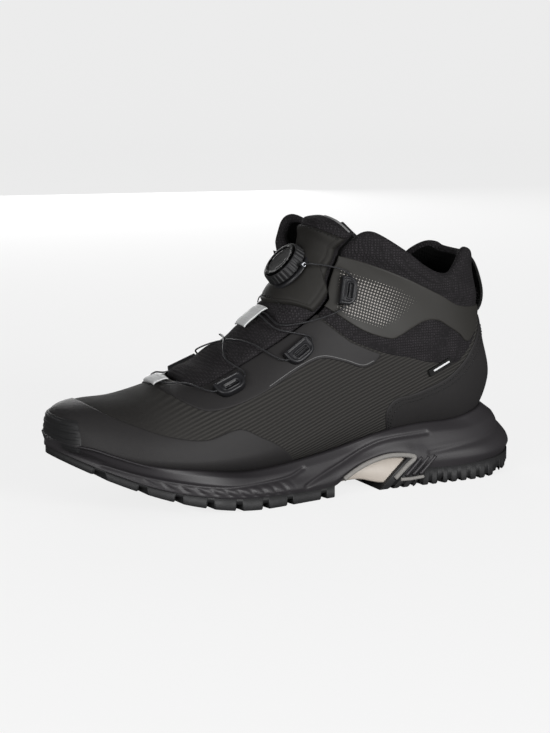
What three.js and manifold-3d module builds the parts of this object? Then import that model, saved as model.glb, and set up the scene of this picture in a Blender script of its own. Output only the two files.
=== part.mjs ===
// Mid-cut hiking boot, left foot, closed by a wire lace and a push-pull dial.
// Millimetres. +Z is up, the toe points to -X, and the outer (lateral) side faces -Y.
// The origin is on the ground under the middle of the heel.
import * as THREE from 'three';
import { mergeVertices } from 'three/addons/utils/BufferGeometryUtils.js';
import Module from 'manifold-3d';

const wasm = await Module();
wasm.setup();

// ---------------------------------------------------------------- driving dimensions
const LATERAL = -1;
const MEDIAL = 1;
const GAP = 0.3;                 // air between neighbouring pieces
const SHELL_THICK = 1.4;         // fabric shell and cuff knit
const STIFF_THICK = 1.2;         // toe puff, heel counter, lasting board
const LINING_THICK = 1.2;
const FILM_THICK = 1.0;          // rand, eyestay, heel and ankle films
const FOAM_THICK = 4.5;          // cuff foam
const STIFF_OUT = -SHELL_THICK - GAP;
const LINING_OUT = STIFF_OUT - STIFF_THICK - GAP;
const LINING_IN = LINING_OUT - LINING_THICK;
const FOAM_OUT = STIFF_OUT;
const CUFF_LINING_OUT = FOAM_OUT - FOAM_THICK - GAP;
const CUFF_LINING_IN = CUFF_LINING_OUT - LINING_THICK;
const SOLE_WELL = GAP + FILM_THICK + GAP;   // the midsole wraps the films with a gap
const LACE_R = 0.6;
const THROAT_HALF = 24.5;        // half width of the lace opening over the instep
const THROAT_FRONT = -187;
const DIAL_CENTRE = [-109.5, 0, 135];
const DIAL_TILT = -48.2;         // degrees about Y, from straight up towards the toe
const RINGS = [0.4, 1, 1.7, 2.6, 3.6, 4.6, 5.6, 6.6, 7.6, 8.6, 9.6, 10.4, 11.2, 12.2, 13.2, 14];
const AROUND = 18;
const CLEAN_UP = 0.02;           // slivers thinner than this are merged away
const TOP = 13.99;

// ---------------------------------------------------------------- the last (foot form)
// Each station is a slanted section of the boot: the sole-side point, the ridge point,
// the half widths, the height share of the widest line and the sideways shift of both ends.
//   sole x, z     ridge x, z   lateral medial waist ridgeY soleY
const STATIONS = [
  [-259, 47, -259, 47, 0.1, 0.1, 0.5, 6, 6],
  [-258.5, 38, -258, 55, 15, 15, 0.5, 6, 6],
  [-255, 34, -252, 60.5, 27, 27, 0.37, 6, 5],
  [-244, 31, -238, 63, 38, 36, 0.3, 6, 4],
  [-222, 25, -215, 64.5, 47, 43, 0.27, 5, 0],
  [-190, 19, -182, 73.5, 51, 46, 0.26, 5, -2],
  [-155, 16, -150, 89, 50, 45, 0.26, 4, -2],
  [-118, 17, -124, 106, 45, 40, 0.28, 3, -1],
  [-75, 22, -106, 123, 40, 36, 0.32, 2, 0],
  [-30, 27, -98, 136, 37, 34, 0.4, 0, 0],
  [10, 32, -94, 145, 35, 33, 0.45, 0, 0],
  [26, 57, -92, 151, 35, 33, 0.5, 0, 0],
  [21, 85, -90, 157, 36, 35, 0.5, 0, 0],
  [16, 112, -89, 163, 37, 36, 0.5, 0, 0],
  [18, 145, -89, 171, 38, 37, 0.5, 0, 0],
];
const ROUNDNESS = 2 / 2.3;       // superellipse power of every section

// Ground outline of the sole in plan, from the heel round the lateral side.
const SOLE = [[43, 2], [36, -20], [14, -35], [-28, -38], [-70, -39], [-110, -46], [-150, -54],
  [-185, -55], [-216, -48], [-244, -31], [-262, -5], [-262, 16], [-244, 35], [-212, 47],
  [-177, 51], [-140, 47], [-100, 38], [-60, 34], [-20, 36], [14, 34], [36, 21]];

// Heights along the boot's length, as [x, z] lines.
const BITE = [[-270, 43], [-251, 41], [-239, 37], [-220, 31], [-189, 26], [-164, 22], [-144, 22],
  [-122, 24], [-93, 28], [-66, 34], [-38, 37], [-10, 37], [5, 39], [30, 44], [50, 45]];
const MIDSOLE_UNDER = [[-275, 42], [-262, 36.5], [-240, 27], [-216, 18], [-191, 12], [-159, 7.5],
  [-127, 6], [-110, 6], [-99, 7], [-91, 11], [-80, 16], [-63, 20], [-49, 19], [-40, 14],
  [-30, 10], [-8, 9.5], [20, 11], [50, 14]];
const INSOLE_TOP = [[-270, 50], [-244, 41], [-222, 36], [-190, 30], [-155, 27], [-118, 29], [-75, 34],
  [-30, 39], [10, 44], [40, 46]];
const TOE_SPRING_FROM = -149;
const TOE_SPRING_LENGTH = 113;
const TOE_SPRING_RISE = 32;

// Side outlines, [x, z]: every seam that shows from the side is one of these lines.
const RAND_LINE = [[-246, 64], [-236, 58], [-227, 54], [-207, 47], [-186, 44], [-169, 48],
  [-161, 48], [-151, 43], [-138, 36], [-118, 20]];
const EYESTAY_LINE = [[-199, 74], [-197, 68], [-187, 61], [-177, 59], [-161, 62], [-141, 69],
  [-118, 80], [-104, 84], [-90, 81], [-78, 77], [-70, 79], [-64, 84]];
const CUFF_SEAM = [[-106, 112], [-96, 103], [-85, 94], [-72, 88], [-58, 83], [-44, 80],
  [-30, 76], [-11, 74], [-3, 79], [6, 90], [14, 101], [40, 103]];
const FILM_TOP = [[-100, 147], [-88, 144], [-74, 140], [-51, 131], [-24, 118], [-4, 109], [40, 107]];
const FILM_FOOT = [[40, 105], [14, 104], [5, 92], [-2, 87], [-8, 92], [-16, 97], [-25, 102],
  [-34, 102], [-43, 98], [-51, 94], [-59, 93], [-78, 100], [-100, 116]];
const HEEL_LINE = [[-54, 28], [-60, 43], [-60, 50], [-54, 56], [-40, 58], [-18, 65], [-5, 74],
  [1, 81], [8, 90], [14, 99], [17, 101], [40, 102]];
const COLLAR_LATERAL = [[-110, 150], [-92, 150], [-82, 157], [-74, 159.5], [-64, 156], [-46, 145],
  [-35, 137], [-24, 131.5], [-13, 131], [-3, 137], [6, 144], [12, 144], [17, 141], [40, 136]];
const COLLAR_MEDIAL = [[-110, 156], [-96, 158], [-84, 164], [-74, 164], [-60, 158], [-44, 147],
  [-32, 139], [-20, 134], [-10, 136], [-3, 140], [6, 144], [12, 144],
  [17, 141], [40, 136]];

// Crown of the tongue above the instep line, as [station, height].
const TONGUE_CROWN = [[4.9, 1.6], [6, 2.4], [6.9, 3], [7.25, 7], [7.7, 9.2], [9, 8], [10, 6.6],
  [11, 6.6], [12, 8], [13, 7], [13.5, 4]];
const TONGUE_FLATNESS = [[9.6, 2.2], [11.4, 3.5]];   // power of the crown across, by station
const TONGUE_EDGE = 0.8;
const TONGUE_IN = -5;
const TONGUE_CLEAR = 2.2;        // air between the tongue's edges and the lace opening
const PANEL_THICK = 1.6;
const PANEL_BED = 0.35;          // the padding dips this far under the panel
const PANEL_FROM = 7.2;
const PANEL_TO = 12.3;

// ---------------------------------------------------------------- small maths
function spline(rows, t) {
  const last = rows.length - 1;
  const i = Math.min(Math.max(Math.floor(t), 0), last - 1);
  const f = t - i;
  const row = (k) => {
    if (k < 0) return rows[0].map((value, c) => 2 * value - rows[1][c]);
    if (k > last) return rows[last].map((value, c) => 2 * value - rows[last - 1][c]);
    return rows[k];
  };
  const [a, b, c, d] = [row(i - 1), row(i), row(i + 1), row(i + 2)];
  return b.map((value, k) => 0.5 * (2 * value + (c[k] - a[k]) * f
    + (2 * a[k] - 5 * value + 4 * c[k] - d[k]) * f * f
    + (3 * value - a[k] - 3 * c[k] + d[k]) * f * f * f));
}

function heightAt(line, x) {
  let k = 0;
  while (k < line.length - 2 && x > line[k + 1][0]) k += 1;
  const [x0, z0] = line[k];
  const [x1, z1] = line[k + 1];
  const f = Math.min(Math.max((x - x0) / (x1 - x0), 0), 1);
  return z0 + (z1 - z0) * f * f * (3 - 2 * f);
}

function toeSpring(x) {
  const f = Math.max((TOE_SPRING_FROM - x) / TOE_SPRING_LENGTH, 0);
  return TOE_SPRING_RISE * Math.min(f, 1.2) ** 1.8;
}

// ---------------------------------------------------------------- the boot's surface
// u runs round a section: 0 on the ridge, a quarter turn on the lateral side, half a turn
// at the sole or the back of the heel. v counts the stations from toe to cuff.
function lastPoint(u, v) {
  const [soleX, soleZ, ridgeX, ridgeZ, wideL, wideM, waist, ridgeY, soleY] = spline(STATIONS, v);
  const c = Math.cos(u);
  const s = Math.sin(u);
  const reach = Math.abs(c) ** ROUNDNESS;
  const up = c >= 0 ? waist + (1 - waist) * reach : waist * (1 - reach);
  const wide = s >= 0 ? -wideL : wideM;
  const y = wide * Math.abs(s) ** ROUNDNESS + soleY * (1 - up) + ridgeY * up;
  return new THREE.Vector3(soleX * (1 - up) + ridgeX * up, y, soleZ * (1 - up) + ridgeZ * up);
}

function lastNormal(u, v) {
  const step = 0.02;
  const alongU = lastPoint(u + step, v).sub(lastPoint(u - step, v));
  const alongV = lastPoint(u, Math.min(v + step, 14)).sub(lastPoint(u, v - step));
  return alongU.cross(alongV).normalize();
}

function skinPoint(u, v, offset) {
  return lastPoint(u, v).addScaledVector(lastNormal(u, v), offset);
}

// The surface point at a given sideways distance from the ridge, for the tongue and lace.
function instepPoint(y, v, offset) {
  const row = spline(STATIONS, v);
  const wide = y < 0 ? row[4] : row[5];
  const turn = Math.asin(Math.min(Math.abs(y) / wide, 1) ** (1 / ROUNDNESS));
  return skinPoint(y < 0 ? turn : -turn, v, offset);
}

// The (u, v) of the surface point seen at side position (x, z).
function locate(x, z, side) {
  let best = [0, 0, Infinity];
  for (let i = 0; i <= 40; i += 1) {
    for (let j = 0; j <= 56; j += 1) {
      const u = -side * (0.1 + 2.9 * i / 40);
      const point = lastPoint(u, j / 4);
      const miss = Math.hypot(point.x - x, point.z - z);
      if (miss < best[2]) best = [u, j / 4, miss];
    }
  }
  let [u, v] = best;
  for (let round = 0; round < 12; round += 1) {
    const here = lastPoint(u, v);
    const du = lastPoint(u + 0.01, v).sub(here).divideScalar(0.01);
    const dv = lastPoint(u, v + 0.01).sub(here).divideScalar(0.01);
    const det = du.x * dv.z - du.z * dv.x;
    u += ((x - here.x) * dv.z - (z - here.z) * dv.x) / det * 0.7;
    v += ((z - here.z) * du.x - (x - here.x) * du.z) / det * 0.7;
  }
  return [u, v];
}

// ---------------------------------------------------------------- solids and booleans
function solid(geometry) {
  const bare = geometry.clone();
  bare.deleteAttribute('normal');
  bare.deleteAttribute('uv');
  const merged = mergeVertices(bare, 1e-4);
  const vertProperties = new Float32Array(merged.attributes.position.array);
  const triVerts = new Uint32Array(merged.index.array);
  if (signedVolume(vertProperties, triVerts) < 0) triVerts.reverse();
  return new wasm.Manifold(new wasm.Mesh({ numProp: 3, vertProperties, triVerts }));
}

function signedVolume(positions, triangles) {
  const corner = (k) => new THREE.Vector3().fromArray(positions, 3 * triangles[k]);
  let volume = 0;
  for (let k = 0; k < triangles.length; k += 3) {
    volume += corner(k).dot(corner(k + 1).cross(corner(k + 2))) / 6;
  }
  return volume;
}

function geometryOf(manifold) {
  const mesh = manifold.getMesh();
  const geometry = new THREE.BufferGeometry();
  geometry.setAttribute('position', new THREE.BufferAttribute(new Float32Array(mesh.vertProperties), 3));
  geometry.setIndex(new THREE.BufferAttribute(new Uint32Array(mesh.triVerts), 1));
  return geometry;
}

function loft(rings, startCap, endCap) {
  const points = rings.flat();
  const count = rings[0].length;
  const index = [];
  for (let r = 0; r < rings.length - 1; r += 1) {
    for (let k = 0; k < count; k += 1) {
      const a = r * count + k;
      const b = r * count + (k + 1) % count;
      index.push(a, b, a + count, b, b + count, a + count);
    }
  }
  const start = points.length;
  points.push(startCap, endCap);
  const lastRing = (rings.length - 1) * count;
  for (let k = 0; k < count; k += 1) {
    const next = (k + 1) % count;
    index.push(start, next, k);
    index.push(start + 1, lastRing + k, lastRing + next);
  }
  const geometry = new THREE.BufferGeometry();
  const numbers = points.flatMap((p) => [p.x, p.y, p.z]);
  geometry.setAttribute('position', new THREE.Float32BufferAttribute(numbers, 3));
  geometry.setIndex(index);
  return geometry;
}

function centre(points) {
  const sum = points.reduce((total, p) => total.add(p), new THREE.Vector3());
  return sum.divideScalar(points.length);
}

// The filled form bounded by the last moved out (or in) by an offset.
const skinCache = new Map();
function skinSolid(offset) {
  if (!skinCache.has(offset)) {
    const rings = RINGS.map((v) => {
      const ring = [];
      for (let k = 0; k < AROUND; k += 1) {
        ring.push(skinPoint(-2 * Math.PI * k / AROUND, Math.min(v, TOP), offset));
      }
      return ring;
    });
    const toe = new THREE.Vector3(STATIONS[0][0] - offset, STATIONS[0][7], STATIONS[0][1]);
    skinCache.set(offset, solid(loft(rings, toe, centre(rings[rings.length - 1]))));
  }
  return skinCache.get(offset);
}

function layer(outer, inner) {
  return skinSolid(outer).subtract(skinSolid(inner));
}

// A side outline swept across the boot between two y values.
function prism(outline, fromY = -90, toY = 90) {
  const shape = new THREE.Shape(outline.map(([x, z]) => new THREE.Vector2(x, z)));
  const geometry = new THREE.ExtrudeGeometry(shape, { depth: toY - fromY, bevelEnabled: false });
  geometry.rotateX(Math.PI / 2);
  geometry.translate(0, toY, 0);
  return solid(geometry);
}

const shift = (line, dz) => line.map(([x, z]) => [x, z + dz]);
const below = (line) => [...line, [line[line.length - 1][0], -60], [line[0][0], -60]];
const above = (line) => [...line, [line[line.length - 1][0], 260], [line[0][0], 260]];

function box(x0, x1, y0, y1, z0, z1) {
  const geometry = new THREE.BoxGeometry(x1 - x0, y1 - y0, z1 - z0);
  geometry.translate((x0 + x1) / 2, (y0 + y1) / 2, (z0 + z1) / 2);
  return solid(geometry);
}

// The lace opening: a round-ended slot over the instep and a waisted slot up the front.
function throatTool(shrink) {
  const half = THROAT_HALF - shrink;
  const front = THROAT_FRONT + 2.5 * shrink;
  const plan = new THREE.Shape();
  plan.moveTo(-96, -half);
  plan.lineTo(-96, half);
  plan.lineTo(front + 16, half);
  plan.bezierCurveTo(front + 4, half, front, half - 8, front, 0);
  plan.bezierCurveTo(front, 8 - half, front + 4, -half, front + 16, -half);
  const slot = new THREE.ExtrudeGeometry(plan, { depth: 110, bevelEnabled: false, curveSegments: 5 });
  slot.translate(0, 0, 50);
  const edge = [[THROAT_HALF, 104], [24, 114], [21.5, 126], [18.8, 137], [19.5, 147], [24, 154],
    [28, 161], [34, 172], [40, 185]].map(([y, z]) => [y - shrink, z]);
  const face = new THREE.Shape([...edge, ...edge.map(([y, z]) => [-y, z]).reverse()]
    .map(([y, z]) => new THREE.Vector2(y, z)));
  const gate = new THREE.ExtrudeGeometry(face, { depth: 90, bevelEnabled: false });
  gate.rotateX(Math.PI / 2);
  gate.rotateZ(Math.PI / 2);
  gate.translate(-145, 0, 0);
  return solid(slot).add(solid(gate));
}

// ---------------------------------------------------------------- sole unit
const SIDE_POINTS = 18;          // ring points on each side of the sole
const SOLE_FOLD = 2 * SIDE_POINTS;
const MIDSOLE_LIP = 1.5;         // midsole thickness at its top edge
// How far each midsole ring stands in from the sole outline towards the top edge, by height share.
const MIDSOLE_WALL = [[0, 0.14], [0.2, 0], [0.36, 0.08], [0.58, 0.36], [0.82, 0.6], [1, 1]];
const HEEL_BEVEL_FROM = 5;
const HEEL_BEVEL_LENGTH = 38;
const HEEL_BEVEL_RISE = 7;
const SHANK_FOOT = [[-104, 6], [-92, 8], [-78, 7.5], [-62, 3.5], [-40, 3]];
const LUG_DEPTH = 4;
const RUBBER_BASE = 1.8;         // rubber left above the grooves

function ground(x) {
  return toeSpring(x) + HEEL_BEVEL_RISE * (Math.max(x - HEEL_BEVEL_FROM, 0) / HEEL_BEVEL_LENGTH) ** 2;
}

function spaced(points, count) {
  return new THREE.CatmullRomCurve3(points).getSpacedPoints(count);
}

// The sole outline and the line where the upper sinks in, as matching rings: toe tip,
// lateral side, heel tip, medial side.
function ringOf(lateral, medial) {
  const out = spaced(lateral, SIDE_POINTS);
  const back = spaced(medial, SIDE_POINTS).reverse();
  return [...out, ...back.slice(1, -1)];
}

function soleRing() {
  const closed = new THREE.CatmullRomCurve3(SOLE.map(([x, y]) => new THREE.Vector3(x, y, 0)), true);
  const dense = closed.getPoints(400).slice(0, 400);
  const xs = dense.map((p) => p.x);
  const toe = xs.indexOf(Math.min(...xs));
  const turned = [...dense.slice(toe), ...dense.slice(0, toe)];
  const heel = turned.map((p) => p.x).indexOf(Math.max(...xs));
  return ringOf([...turned.slice(heel), turned[0]].reverse(), turned.slice(0, heel + 1));
}

function biteSide(side, offset) {
  const rise = (u, v) => {
    const point = skinPoint(u, v, offset);
    return point.z - heightAt(BITE, point.x);
  };
  const span = (low, high, test) => {
    let [a, b] = [low, high];
    for (let k = 0; k < 30; k += 1) {
      const mid = (a + b) / 2;
      if (test(mid)) a = mid; else b = mid;
    }
    return (a + b) / 2;
  };
  const first = span(0.2, 1, (v) => rise(Math.PI, v) > 0);
  const last = span(10, 11.5, (v) => rise(Math.PI, v) < 0);
  const points = [];
  for (let k = 0; k <= 40; k += 1) {
    const v = first + (last - first) * (1 - Math.cos(Math.PI * k / 40)) / 2;
    const u = span(Math.PI / 2, Math.PI, (turn) => rise(-side * turn, v) > 0);
    points.push(skinPoint(-side * u, v, offset));
  }
  return points;
}

// A closed body through matching rings. Point k of a ring pairs with point fold - k, and
// each end is closed between the pairs.
function pairedLoft(rings, fold) {
  const count = rings[0].length;
  const half = count / 2;
  const across = (j) => (fold - j + count) % count;
  const index = [];
  for (let r = 0; r < rings.length - 1; r += 1) {
    for (let k = 0; k < count; k += 1) {
      const a = r * count + k;
      const b = r * count + (k + 1) % count;
      index.push(a, b, a + count, b, b + count, a + count);
    }
  }
  const top = (rings.length - 1) * count;
  for (let k = 0; k < half; k += 1) {
    const strip = [[k, k + 1, across(k + 1)], [k, across(k + 1), across(k)]];
    strip.filter(([a, b, c]) => a !== b && b !== c && a !== c).forEach(([a, b, c]) => {
      index.push(a, c, b);
      index.push(top + a, top + b, top + c);
    });
  }
  const geometry = new THREE.BufferGeometry();
  const numbers = rings.flat().flatMap((p) => [p.x, p.y, p.z]);
  geometry.setAttribute('position', new THREE.Float32BufferAttribute(numbers, 3));
  geometry.setIndex(index);
  return solid(geometry);
}

const SOLE_RING = soleRing();
const BITE_RING = ringOf(
  biteSide(LATERAL, SOLE_WELL + MIDSOLE_LIP),
  biteSide(MEDIAL, SOLE_WELL + MIDSOLE_LIP),
);

// The sole outline moved outwards in plan (inwards when negative).
function grown(ring, amount) {
  return ring.map((p, k) => {
    const next = ring[(k + 1) % ring.length];
    const before = ring[(k + ring.length - 1) % ring.length];
    const run = next.clone().sub(before).setZ(0).normalize();
    return new THREE.Vector3(p.x + run.y * amount, p.y - run.x * amount, p.z);
  });
}

function midsoleForm(grow) {
  const rings = MIDSOLE_WALL.map(([share, inset]) => {
    const ring = SOLE_RING.map((p, k) => {
      const plan = p.clone().lerp(BITE_RING[k], inset);
      const under = heightAt(MIDSOLE_UNDER, plan.x) - (share === 0 ? grow : 0);
      const over = BITE_RING[k].z + grow;
      return plan.setZ(under + (over - under) * share);
    });
    return grown(ring, grow);
  });
  return pairedLoft(rings, SOLE_FOLD);
}

function slab(inset, lower, upper) {
  const edge = grown(SOLE_RING, -inset);
  return pairedLoft([lower, upper].map((height) => edge.map((p) => p.clone().setZ(height(p.x)))), SOLE_FOLD);
}

const rubberTop = (x) => heightAt(MIDSOLE_UNDER, x);
const UNDERFOOT = midsoleForm(GAP).add(skinSolid(SOLE_WELL + GAP));

// Grooves that split the tread into lugs, cut no deeper than the lugs stand.
function grooves(acrossAt, lengthwise) {
  const roof = (x) => Math.min(ground(x) + LUG_DEPTH, rubberTop(x) - RUBBER_BASE);
  const reach = slab(-6, (x) => ground(x) - 6, roof);
  let cuts = null;
  acrossAt.forEach((x) => {
    [LATERAL, MEDIAL].forEach((side) => {
      const chevron = new THREE.BoxGeometry(4.2, 70, 90);
      chevron.translate(0, side * 34, 20);
      chevron.rotateZ(side * 0.2);
      chevron.translate(x, 0, 0);
      cuts = cuts ? cuts.add(solid(chevron)) : solid(chevron);
    });
  });
  lengthwise.forEach(([x0, x1, y]) => {
    cuts = cuts.add(box(x0, x1, y - 1.9, y + 1.9, -30, 60));
  });
  return cuts.intersect(reach);
}

const HEEL_FRONT = [[-66, -8], [-40, 18], [70, 60], [70, -8]];

function outsoleForefoot() {
  const body = slab(1, ground, (x) => rubberTop(x) + 1).subtract(UNDERFOOT)
    .intersect(box(-300, -99, -90, 90, -30, 37));
  return body.subtract(grooves([-250, -232, -214, -196, -178, -160, -142, -116],
    [[-228, -104, -17], [-228, -104, 17]]));
}

function outsoleHeel() {
  const body = slab(1, ground, (x) => rubberTop(x) + 1).subtract(UNDERFOOT).intersect(prism(HEEL_FRONT));
  return body.subtract(grooves([-46, -30, 16, 32], [[-60, 60, -13], [-60, 60, 13]]));
}

function shankPlate() {
  const front = [[-98.5, -8], [-98.5, 60], [60, 60], [-66.5 + 26, 18], [-66.5, -8]];
  return slab(3.5, (x) => heightAt(SHANK_FOOT, x), (x) => rubberTop(x) + 1).subtract(UNDERFOOT)
    .intersect(prism(front));
}

// The toe bumper fills a notch in the midsole; both are cut from this side outline.
function bumperWindow(grow) {
  return prism([[-300, 37.3 - grow], [-300, 54.5], [-254, 54.5], [-252 + grow, 49],
    [-252 + grow, 40], [-254 + grow, 37.3 - grow]]);
}

function midsole() {
  return midsoleForm(0).subtract(skinSolid(SOLE_WELL)).subtract(bumperWindow(GAP));
}

function toeBumper() {
  return skinSolid(5.2).add(midsoleForm(3.2)).subtract(skinSolid(SOLE_WELL)).intersect(bumperWindow(0));
}

// ---------------------------------------------------------------- upper
const THROAT = throatTool(0);
const CUFF_ZONE = prism(above(shift(CUFF_SEAM, GAP / 2)));
const BELOW_CUFF = prism(below([[-300, 112], [-120, 112], ...shift(CUFF_SEAM, -GAP / 2)]));
const UNDER_COLLAR = prism(below([[-300, 150], ...COLLAR_LATERAL]), -90, 2)
  .add(prism(below([[-300, 150], ...COLLAR_MEDIAL]), 2, 90));

function upperShell() {
  const body = layer(0, -SHELL_THICK).intersect(BELOW_CUFF).subtract(THROAT);
  const open = grown(SOLE_RING, -13).map((p) => new THREE.Vector2(p.x * 0.96 - 8, p.y));
  const hole = new THREE.ExtrudeGeometry(new THREE.Shape(open), { depth: 80, bevelEnabled: false });
  hole.translate(0, 0, -20);
  const floor = solid(hole).intersect(prism(below(shift(BITE, -6))));
  return body.subtract(floor);
}

function lining() {
  return layer(LINING_OUT, LINING_IN).intersect(BELOW_CUFF).subtract(THROAT);
}

function cuffPiece(outer, inner) {
  return layer(outer, inner).intersect(CUFF_ZONE).intersect(UNDER_COLLAR).subtract(THROAT);
}

function toePuff() {
  const zone = [[-300, 46], [-250, 43], [-232, 39], [-214, 50], [-206, 110], [-300, 110]];
  return layer(STIFF_OUT, STIFF_OUT - STIFF_THICK).intersect(prism(zone));
}

function heelCounter() {
  const zone = [[-62, 42], [-40, 70], [-6, 71], [60, 72], [60, 42]];
  return layer(STIFF_OUT, STIFF_OUT - STIFF_THICK).intersect(prism(zone));
}

function lastingBoard() {
  return layer(STIFF_OUT, STIFF_OUT - STIFF_THICK).intersect(prism(below(shift(INSOLE_TOP, -5))));
}

function insole() {
  return skinSolid(LINING_IN - GAP).intersect(prism(below(INSOLE_TOP)));
}

const FILM_OUT = GAP + FILM_THICK;
const film = (zone, fromY, toY) => layer(FILM_OUT, GAP).intersect(prism(zone, fromY, toY));
const aboveBite = (dz) => prism(above(shift([[-300, 43], ...BITE, [80, 45]], dz)));

function toeRand() {
  return film(below([[-300, 66], [-250, 66], ...RAND_LINE])).intersect(aboveBite(-6));
}

function heelOverlay() {
  const zone = [...HEEL_LINE, [60, 102], [60, 20], [-54, 20]];
  return film(zone).intersect(aboveBite(-6));
}

function eyestay(side) {
  const lower = EYESTAY_LINE;
  const seam = shift(CUFF_SEAM.slice(0, 4), -1).reverse();
  const zone = [...lower, ...seam, [-106, 140], [-140, 140], [-199, 110]];
  const [y0, y1] = side === LATERAL ? [-90, -5] : [5, 90];
  return film(zone, y0, y1).subtract(throatTool(-0.2));
}

function ankleFilm() {
  return film([...FILM_TOP, ...FILM_FOOT]).subtract(throatTool(-0.2));
}

function sideLabel() {
  const zone = [[-30, 67.5], [-14, 74.5], [-16, 78.5], [-32, 71.5]];
  return layer(FILM_OUT + GAP + 0.8, FILM_OUT + GAP).intersect(prism(zone, -90, 0));
}

function pullTab() {
  const outer = [[19, 101.6], [24, 107], [26.5, 116], [26.5, 126], [24.5, 133], [20, 137.5], [16.5, 138]];
  const inner = [[17.4, 134.6], [19.4, 134.4], [22.6, 131], [24.4, 124], [24.4, 116], [22.2, 108.6],
    [18.6, 104.4]];
  const strap = prism([...outer, ...inner], -6.5, 7.5);
  return strap.subtract(skinSolid(FILM_OUT + GAP));
}

// ---------------------------------------------------------------- tongue
function crownAt(v) {
  return heightAt(TONGUE_CROWN, v);
}

// The tongue's own skin: crowned over the instep line and low along the throat edges.
function tonguePoint(y, v, extra) {
  const bulge = 1 - Math.min(Math.abs(y) / (THROAT_HALF + 1), 1) ** heightAt(TONGUE_FLATNESS, v);
  const offset = TONGUE_EDGE + (crownAt(v) - TONGUE_EDGE) * bulge;
  return instepPoint(y, v, offset + extra);
}

function tongueSlab(from, to, upperSkin, lowerSkin) {
  const steps = Math.round((to - from) / 0.7);
  const across = 8;
  const rings = [];
  for (let j = 0; j <= steps; j += 1) {
    const v = from + (to - from) * j / steps;
    const ys = Array.from({ length: across + 1 }, (_, k) => -26 + 52 * k / across);
    rings.push([...ys.map((y) => upperSkin(y, v)), ...ys.reverse().map((y) => lowerSkin(y, v))]);
  }
  return pairedLoft(rings, 2 * across + 1);
}

const dialFrame = new THREE.Matrix4().compose(
  new THREE.Vector3(...DIAL_CENTRE),
  new THREE.Quaternion().setFromAxisAngle(new THREE.Vector3(0, 1, 0), THREE.MathUtils.degToRad(DIAL_TILT)),
  new THREE.Vector3(1, 1, 1),
);
const dialPoint = (x, y, z) => new THREE.Vector3(x, y, z).applyMatrix4(dialFrame);

const FLANGE_R = 16;
const CUP_R = 12.6;
const CUP_FLOOR = -6.5;

function disc(r, z0, z1, segments = 20) {
  const geometry = new THREE.CylinderGeometry(r, r, z1 - z0, segments);
  geometry.rotateX(Math.PI / 2);
  geometry.translate(0, 0, (z0 + z1) / 2);
  return geometry;
}

function dialPocket(r, z0) {
  return solid(disc(r, z0, 30, 22).applyMatrix4(dialFrame));
}

function tonguePad() {
  const pad = tongueSlab(4.9, 13.4, (y, v) => tonguePoint(y, v, 0), (y, v) => instepPoint(y, v, TONGUE_IN));
  const panelRoom = tongueSlab(PANEL_FROM - 0.06, PANEL_TO + 0.06, (y, v) => tonguePoint(y, v, 4),
    (y, v) => tonguePoint(y, v, -PANEL_BED));
  return pad.subtract(panelRoom).intersect(throatTool(TONGUE_CLEAR))
    .subtract(dialPocket(FLANGE_R + GAP, -1.6))
    .subtract(dialPocket(CUP_R + GAP, CUP_FLOOR - GAP));
}

function tonguePanel() {
  const panel = tongueSlab(PANEL_FROM, PANEL_TO, (y, v) => tonguePoint(y, v, GAP + PANEL_THICK),
    (y, v) => tonguePoint(y, v, GAP));
  return panel.intersect(throatTool(TONGUE_CLEAR)).subtract(dialPocket(FLANGE_R + GAP, -12));
}

function gusset(side) {
  const width = [13, 33];
  const rings = [];
  for (let v = 5.4; v < 7.5; v += 0.5) {
    const top = width.map((y) => instepPoint(side * y, v, TONGUE_IN - GAP));
    const under = width.map((y) => instepPoint(side * y, v, TONGUE_IN - GAP - 0.9)).reverse();
    rings.push([...top, ...under]);
  }
  return pairedLoft(rings, 3);
}

// ---------------------------------------------------------------- lace and its guides
// Guide centres on the side view, the run of each towards the throat, length and depth.
const GUIDES = {
  upper: { at: [-83, 122], run: 78, length: 18, depth: 10 },
  middle: { at: [-118, 88], run: 36, length: 19, depth: 11 },
  lower: { at: [-163, 70.5], run: 25, length: 19, depth: 11 },
};
const GUIDE_THICK = 3.2;
const GUIDE_SIT = FILM_OUT + GAP + 0.25;
const LACE_LEVEL = GUIDE_SIT + GUIDE_THICK / 2;

function guideFrame({ at, run }, side) {
  const [u, v] = locate(at[0], at[1], side);
  const normal = lastNormal(u, v);
  const angle = THREE.MathUtils.degToRad(run);
  const along = new THREE.Vector3(Math.cos(angle), 0, Math.sin(angle));
  along.addScaledVector(normal, -along.dot(normal)).normalize();
  const away = new THREE.Vector3().crossVectors(normal, along);
  if (away.z > 0) away.negate();
  return { origin: lastPoint(u, v), normal, along, away };
}

function guidePlace(spec, side, alongBy, awayBy, level) {
  const { origin, normal, along, away } = guideFrame(spec, side);
  return origin.clone().addScaledVector(along, alongBy).addScaledVector(away, awayBy)
    .addScaledVector(normal, level);
}

function guideBody(spec, side) {
  const half = spec.length / 2;
  const shape = new THREE.Shape();
  shape.moveTo(-half, 0);
  shape.lineTo(half, 0);
  shape.lineTo(half, spec.depth * 0.3);
  shape.bezierCurveTo(half, spec.depth, half * 0.6, spec.depth, 0, spec.depth);
  shape.bezierCurveTo(-half * 0.6, spec.depth, -half, spec.depth, -half, spec.depth * 0.3);
  const bar = { depth: GUIDE_THICK, bevelEnabled: false, curveSegments: 4 };
  const geometry = new THREE.ExtrudeGeometry(shape, bar);
  geometry.translate(0, -spec.depth / 2, GUIDE_SIT);
  const { origin, normal, along, away } = guideFrame(spec, side);
  const flip = along.clone().cross(away).dot(normal) < 0;
  const frame = new THREE.Matrix4().makeBasis(flip ? along.clone().negate() : along, away, normal);
  frame.setPosition(origin);
  return solid(geometry.applyMatrix4(frame));
}

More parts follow.
